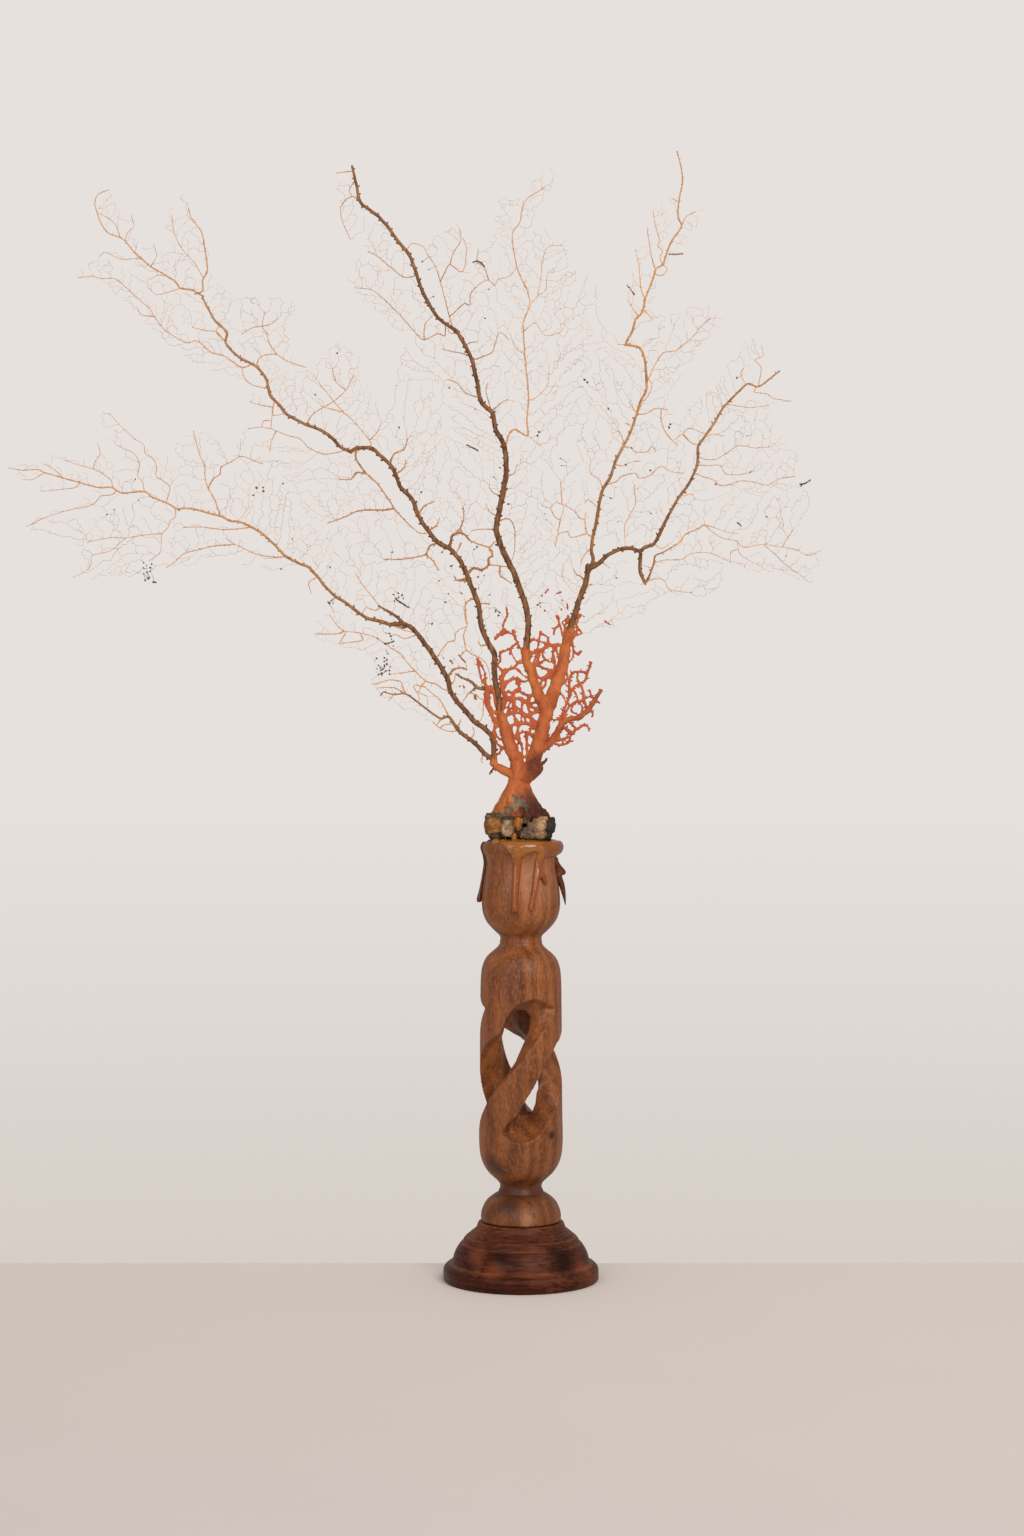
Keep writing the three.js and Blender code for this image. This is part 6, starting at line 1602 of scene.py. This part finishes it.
def laceShells(nodes, first, dice):
    # Tubes for the lace, one shell for each branch it grows from
    count = len(nodes)
    children = [[] for _ in nodes]
    tips = [0] * count  # how many ends a node carries, for its thickness
    for i in range(first, count):
        children[nodes[i][2]].append(i)
    for i in range(count - 1, first - 1, -1):
        tips[i] = max(tips[i], 1)
        tips[nodes[i][2]] += tips[i]
    low, high = (Vector(v) / mm for v in (cadLow, cadHigh))
    places = []
    for x, z, _, _, drift in nodes:
        x, z = min(max(x, low.x + 0.5), high.x - 0.5), min(z, high.z - 0.5)
        places.append(Vector((x, depthAt(x, z) + drift, z)))
    thin, thick = laceLook["radius"]
    shells = {}
    starts = [(i, k) for i in range(count) for k in children[i] if i < first or k != children[i][0]]
    for foot, child in starts:
        chain = [foot, child]
        while children[chain[-1]]:
            chain.append(children[chain[-1]][0])
        if len(chain) < 3:
            continue
        end = dice.random()
        points = [places[i] for i in chain]
        radii = [min(thick, thin + 0.028 * math.sqrt(tips[i])) for i in chain[1:]]
        radii = [radii[0] * 1.25] + radii
        radii[-1] *= 0.7
        shell = shells.setdefault(nodes[child][3], Shell())
        shell.loft(ringsAlong(points, radii, 3))
        # most tips grow on into a neighbour, and side links close the net into cells
        links = [(len(chain) - 1, 0.1, 1)] if end < 0.7 else []
        links += [(k, -0.5, 0.6) for k in range(2, len(chain) - 1) if dice.random() < laceLook["crossLinks"]]
        for k, least, most in links:
            target = joinTarget(places, chain, k, least, most)
            if target:
                kink = Vector((dice.uniform(-0.7, 0.7), 0, dice.uniform(-0.7, 0.7)))
                path = [points[k], points[k].lerp(target, 0.5) + kink, target]
                shell.loft(ringsAlong(path, [thin * 1.1, thin, thin], 3))
    return shells


def joinTarget(places, chain, k, least, most):
    # The nearest strand whose direction from a node, against the thread's own, lies between two cosines
    own = set(chain)
    at = places[chain[k]]
    heading = (at - places[chain[k - 1]]).normalized()
    found = None
    nearest = 6.0
    for place, i, gap in laceTree.find_range(at, nearest):
        if i not in own and 1.4 < gap < nearest and least < (place - at).normalized().dot(heading) < most:
            nearest, found = gap, place
    return found


dice = random.Random(fanLook["seed"])
fanLines = [("trunk", line) for line in trunkLines]
axis, lace = gorgonAxis(), laceTwigs()
slots = {part["node"]: part["material_slot"] for part in frame["record"]["subparts"]}

for name, look in branchLook.items():
    shell = Shell()
    lines = []
    shades = [(look["tones"][0], 0, 0), (look["tones"][1], 0, 0)]
    for route, profile in zip(stemRoutes[name], look["profile"]):
        line = onFan(spots(route))
        line[0] -= (line[1] - line[0]).normalized() * fanLook["footOverlap"]
        lines.append(line)
        sides = 12 if profile[0][1] > 1 else 8
        made = addStem(shell, line, profile, sides, shades, dice, look["nubs"],
                       fanLook["nubLength"] * min(1, 0.3 + profile[0][1] * 0.5))
        fanLines.append((name, made))
    wide, narrow = look["twig"]
    twigShades = [(min(1, look["tones"][1] + more), 0, 0) for more in (0.25, 0.45)]
    for route in twigRoutes[name]:
        line = joined(lines, onFan(spots(route)), fanLook["joinReach"])
        lines.append(line)
        made = addStem(shell, line, [(0, wide), (0.2, wide * 0.82), (1, narrow)], 6, twigShades, dice, 3.8,
                       wide * 1.6, 1.5)
        fanLines.append((name, made))
    for route, wide, narrow, tan in stoutTwigs.get(name, []):
        line = onFan(spots(route))
        line[0] = nearestOn(lines, line[0], fanLook["joinReach"]) or line[0]
        addStem(shell, line, [(0, wide * 1.3), (0.15, wide), (1, narrow)], 8,
                ((tan, 0, 0), (tan + 0.1, 0, 0)), dice, 3, 1.2)
    installed(shell.build(name + "_stems"), axis, slots[name], name)
print("branches grown")

spray, sprayLines = netShell("right_low_spray", dice)
stemLine = onFan(spots(stemRoutes["right_low_spray"][0]))
fanLines += [("right_low_spray", line) for line in sprayLines + [stemLine]]
addStem(spray, stemLine, [(0, 2.6), (0.3, 2.1), (0.7, 1.8), (1, 1.3)], 12, ((0.5, 0.15, 0), (0.2, 0.3, 0)),
        dice, 3, 1.3, 1.2, 0.15)
installed(spray.build("right_low_spray_twigs"), crust, "coral_crust", "right_low_spray")

laceNodes, firstLace = grownLace(fanLines, dice)
laceTree = treeOf([Vector((x, depthAt(x, z) + drift, z)) for x, z, _, _, drift in laceNodes])
total = 0
for name, shell in laceShells(laceNodes, firstLace, dice).items():
    piece = installed(shell.build(name + "_lace"), lace, "tan_twigs")
    total += len(piece.data.polygons)
print("lace grown:", len(laceNodes) - firstLace, "nodes,", total, "faces")


# Scraps of grit and crust caught in the net

scrapLook = {
    # each place is x,z in millimetres; places joined by a space are one long scrap
    "dark": {
        "tone": (0.35, 0.1, 0.5), "radius": 0.62,
        "at": ["-33,693.5 -28.7,694.1 -24.5,690.4", "-22,674", "-22.5,654.5", "-67,693.5", "-63,688",
               "-59.5,670", "-49,609", "-30,593.5", "-138.7,604", "-125.5,632", "46.3,612.6", "42,614.9",
               "61,595", "-257,488.8", "-256,486.5", "-255.5,483", "-253.8,478", "-251,475.5 -248,475.5",
               "-262.3,545.5", "-277,525", "-260.2,529.7", "-281,520", "-179.2,538.8", "-182.1,536.5",
               "-161.9,541.2", "-156.7,504.2", "-130.2,485.8", "-97.8,437.3", "-92.3,433.8 -86.5,435.6",
               "-90,439", "-98.5,423.8", "-94.9,421.5", "-93.1,419.7 -93.5,417.1 -96.2,415.3",
               "-94.9,412.6", "-91.3,426.9", "-90.4,423.3", "-89.5,413",
               "-85.4,465 -80.2,461.5 -76.1,459", "-60.6,447.5", "-36,570 -27.5,566", "-68,537.7",
               "-8.5,529.6", "-18.5,548", "-14,553.5", "27.7,556.2", "27,561", "102.1,585", "88.8,553.3",
               "89.4,523.8", "11.5,574.6", "13,578", "12.1,460.4", "60.5,533", "72,557", "76,568.8",
               "155.3,577", "191.6,544 195.1,544.5 199.3,547", "197.9,550.6"],
    },
    "grey": {
        "tone": (0.1, 0.5, 0.4), "radius": 0.6,
        "at": ["72.9,678.9 78.3,672.2", "110.6,694.1 120.4,694.7", "-166.5,556.7", "-161.9,471.9",
               "-86.5,496.2", "-83,581", "17.9,524.4", "66.4,518", "65.8,479.4", "103.6,583.6",
               "148.1,616.4", "157.7,552.4", "133.7,543.5", "149.3,518.8 152.8,516", "168.6,521.7",
               "180.6,495.6", "13.6,459.4"],
    },
    "rust": {
        "tone": (1, 0.55, 0), "radius": 0.55,
        "at": ["-49.1,487 -46.4,487.4", "-42.3,469 -40.6,467.4", "-51.2,462.4 -49.4,461.6", "-37.6,461",
               "-49.1,468.5", "-30,472.6", "-21.9,469.2", "-28.7,480.1", "-24.6,480.1", "-53.9,496.5",
               "-56.6,476.7"],
    },
    "orange": {
        "tone": (0.6, 0, 0), "radius": 0.66,
        "at": ["-39.2,526.2", "57.7,450 62.3,447.1", "16.2,469 19,472", "13.3,466.7", "16.5,457",
               "24,468.5 27.5,469.5", "31.7,462 32.3,457.5", "27.7,457.7", "29.5,464.2", "43.3,453",
               "-33.5,395 -31.6,398.4", "-41,406", "-43.3,426.2 -40.6,423 -38.2,420.5",
               "-48.6,422.8 -46.4,420.4", "-53,424", "-40.6,406.9 -39.4,404.4",
               "-33.2,397.8 -31.9,394.4"],
    },
}
# loose clusters of dark crumbs: middle x,z, half width, half height, how many
scrapClusters = [
    (-93.5, 420, 4, 7.4, 24), (-90.4, 436.4, 3.8, 4, 9), (-84, 465.4, 3.8, 3, 8), (-254, 482, 3.4, 6.4, 12),
    (-129.5, 461, 2.4, 3, 5), (-16.4, 455.6, 2, 4, 9), (-30.7, 500, 1.4, 2.4, 4), (44.6, 613.6, 2.4, 2.4, 6),
    (13, 460, 1.8, 2, 5), (103, 584.4, 1.8, 2, 5), (-178.6, 538.6, 2.6, 2, 5),
]


scrapHang = (2.2, 9)  # a scrap this far from its strand hangs by a thread; nearer or farther it moves there


def scrapPath(route, dice):
    # Places of one scrap, moved onto the nearest strand of the net or hung from it by a fine thread
    line = onFan(spots(route))
    if len(line) == 1:
        turn = dice.uniform(0, math.pi)
        reach = Vector((math.cos(turn), 0.3, math.sin(turn))) * dice.uniform(0.6, 1.4)
        line = [line[0] - reach * 0.6, line[0] + reach * 0.6]
    middle = sum(line, Vector()) / len(line)
    strand = laceTree.find(middle)[0]
    stem = nearestOn([made for _, made in fanLines], middle, 4)
    target = stem if stem and (stem - middle).length < (strand - middle).length else strand
    gap = target - middle
    if not scrapHang[0] < gap.length < scrapHang[1]:
        return [p + gap for p in line], None
    return line, [middle, middle.lerp(target, 0.5) + Vector((0.2, 0.1, 0.3)), target]


def scraps(kinds):
    dice = random.Random(23)
    shell = Shell()
    for kind in kinds:
        look = scrapLook[kind]
        places = list(look["at"])
        if kind == "dark":
            for x, z, wide, high, count in scrapClusters:
                places += [f"{x + wide * dice.uniform(-1, 1)},{z + high * dice.uniform(-1, 1)}"
                           for _ in range(count)]
        for route in places:
            line, thread = scrapPath(route, dice)
            line = curved(line, 0.5)
            if thread:
                shell.loft(ringsAlong(thread, [0.16, 0.13, 0.13], 3), look["tone"])
            crumple = [p + Vector([dice.uniform(-0.22, 0.22) for _ in range(3)]) for p in line]
            radii = [look["radius"] * dice.uniform(0.5, 1.25) for _ in line]
            radii[0], radii[-1] = radii[0] * 0.5, radii[-1] * 0.5
            shell.loft(ringsAlong(crumple, radii, 6), look["tone"])
    return shell


installed(scraps(["dark", "grey"]).build("caught_grit"), pebble, "stone")
installed(scraps(["rust", "orange"]).build("caught_crust_crumbs"), crust, "coral_crust")
print("scraps caught")


# Floor, lights and camera

studio = {
    # painted light: the floor colour turns from darker at the front to lighter at the back
    "floorFar": rgb(237, 229, 222), "floorNear": rgb(207, 201, 198),
    # floor in millimetres: back edge, front edge, half width, thickness
    "floor": (54, -3200, 2600, 30),
    # the wall colour turns from low to high between these heights of the view direction
    "wallHigh": rgb(231, 225, 222), "wallLow": rgb(214, 206, 199), "wallTurn": (-0.19, -0.01),
    "roomLight": 0.55, "lampAim": (0, 0, 0.35),
    "lights": [
        # name, place, size, power, colour
        ("key_softbox", (0.7, -1.5, 1.3), 1.2, 21, rgb(255, 249, 240)),
        ("fill_softbox", (-0.9, -1.6, 0.9), 1.4, 9, rgb(252, 251, 252)),
    ],
    "lens": 58, "sensor": 36, "eye": (-0.0061, -1.690, 0.349),
}


def studioFloor():
    paint = Paint("pale_studio_floor")
    soft = paint.grains((6, 6, 6), 2, 0.5)
    spot = paint.node("TexCoord", {}, {}, "Object")
    depth = paint.node("SeparateXYZ", {}, {0: spot}, 1)
    # painted light: lighter toward the back edge, to stand for how the floor is lit
    share = paint.ramp(depth + soft * 0.08 + 0.56, (0.0, 0), (0.66, 1))
    colour = paint.mixed(share, studio["floorNear"], studio["floorFar"])
    shell = Shell()
    back, front, wide, thick = studio["floor"]
    corners = [(-wide, front), (wide, front), (wide, back), (-wide, back)]
    shell.loft([[(x, y, z) for x, y in corners] for z in (-thick, 0)])
    floor = shell.build("studio_floor")
    floor.data.materials.append(paint.surface(Base_Color=colour, Roughness=0.8))


def paleRoom():
    # A plain pale wall colour all round, a little darker low down, that lights the object softly
    world = bpy.data.worlds.new("pale_room")
    world.use_nodes = True
    tree = world.node_tree
    tree.nodes.clear()
    made = {kind: tree.nodes.new("ShaderNode" + kind) for kind in
            ("TexCoord", "SeparateXYZ", "MapRange", "Mix", "LightPath", "OutputWorld", "MixShader")}
    seen, lighting = tree.nodes.new("ShaderNodeBackground"), tree.nodes.new("ShaderNodeBackground")
    made["Mix"].data_type = "RGBA"
    made["Mix"].inputs[6].default_value = studio["wallLow"]
    made["Mix"].inputs[7].default_value = studio["wallHigh"]
    made["MapRange"].inputs["From Min"].default_value = studio["wallTurn"][0]
    made["MapRange"].inputs["From Max"].default_value = studio["wallTurn"][1]
    lighting.inputs["Color"].default_value = studio["wallHigh"]
    lighting.inputs["Strength"].default_value = studio["roomLight"]
    link = tree.links.new
    link(made["TexCoord"].outputs["Generated"], made["SeparateXYZ"].inputs[0])
    link(made["SeparateXYZ"].outputs["Z"], made["MapRange"].inputs["Value"])
    link(made["MapRange"].outputs[0], made["Mix"].inputs[0])
    link(made["Mix"].outputs[2], seen.inputs["Color"])
    link(made["LightPath"].outputs["Is Camera Ray"], made["MixShader"].inputs[0])
    link(lighting.outputs[0], made["MixShader"].inputs[1])
    link(seen.outputs[0], made["MixShader"].inputs[2])
    link(made["MixShader"].outputs[0], made["OutputWorld"].inputs["Surface"])
    return world


def studioLight():
    scene = bpy.context.scene
    scene.view_settings.view_transform = "Standard"
    scene.world = paleRoom()
    for name, place, size, power, colour in studio["lights"]:
        lamp = bpy.data.lights.new(name, "AREA")
        lamp.shape, lamp.size, lamp.energy, lamp.color = "DISK", size, power, colour[:3]
        shown = bpy.data.objects.new(name, lamp)
        shown.location = place
        aim = Vector(studio["lampAim"]) - Vector(place)
        shown.rotation_euler = aim.to_track_quat("-Z", "Y").to_euler()
        scene.collection.objects.link(shown)


def studioCamera():
    camera = bpy.data.cameras.new("camera")
    camera.lens, camera.sensor_width, camera.sensor_fit = studio["lens"], studio["sensor"], "AUTO"
    camera.clip_start, camera.clip_end = 0.05, 30
    shown = bpy.data.objects.new("camera", camera)
    shown.location = studio["eye"]
    shown.rotation_euler = (math.radians(90), 0, 0)
    bpy.context.scene.collection.objects.link(shown)
    bpy.context.scene.camera = shown


studioFloor()
studioLight()
studioCamera()
print("studio set")
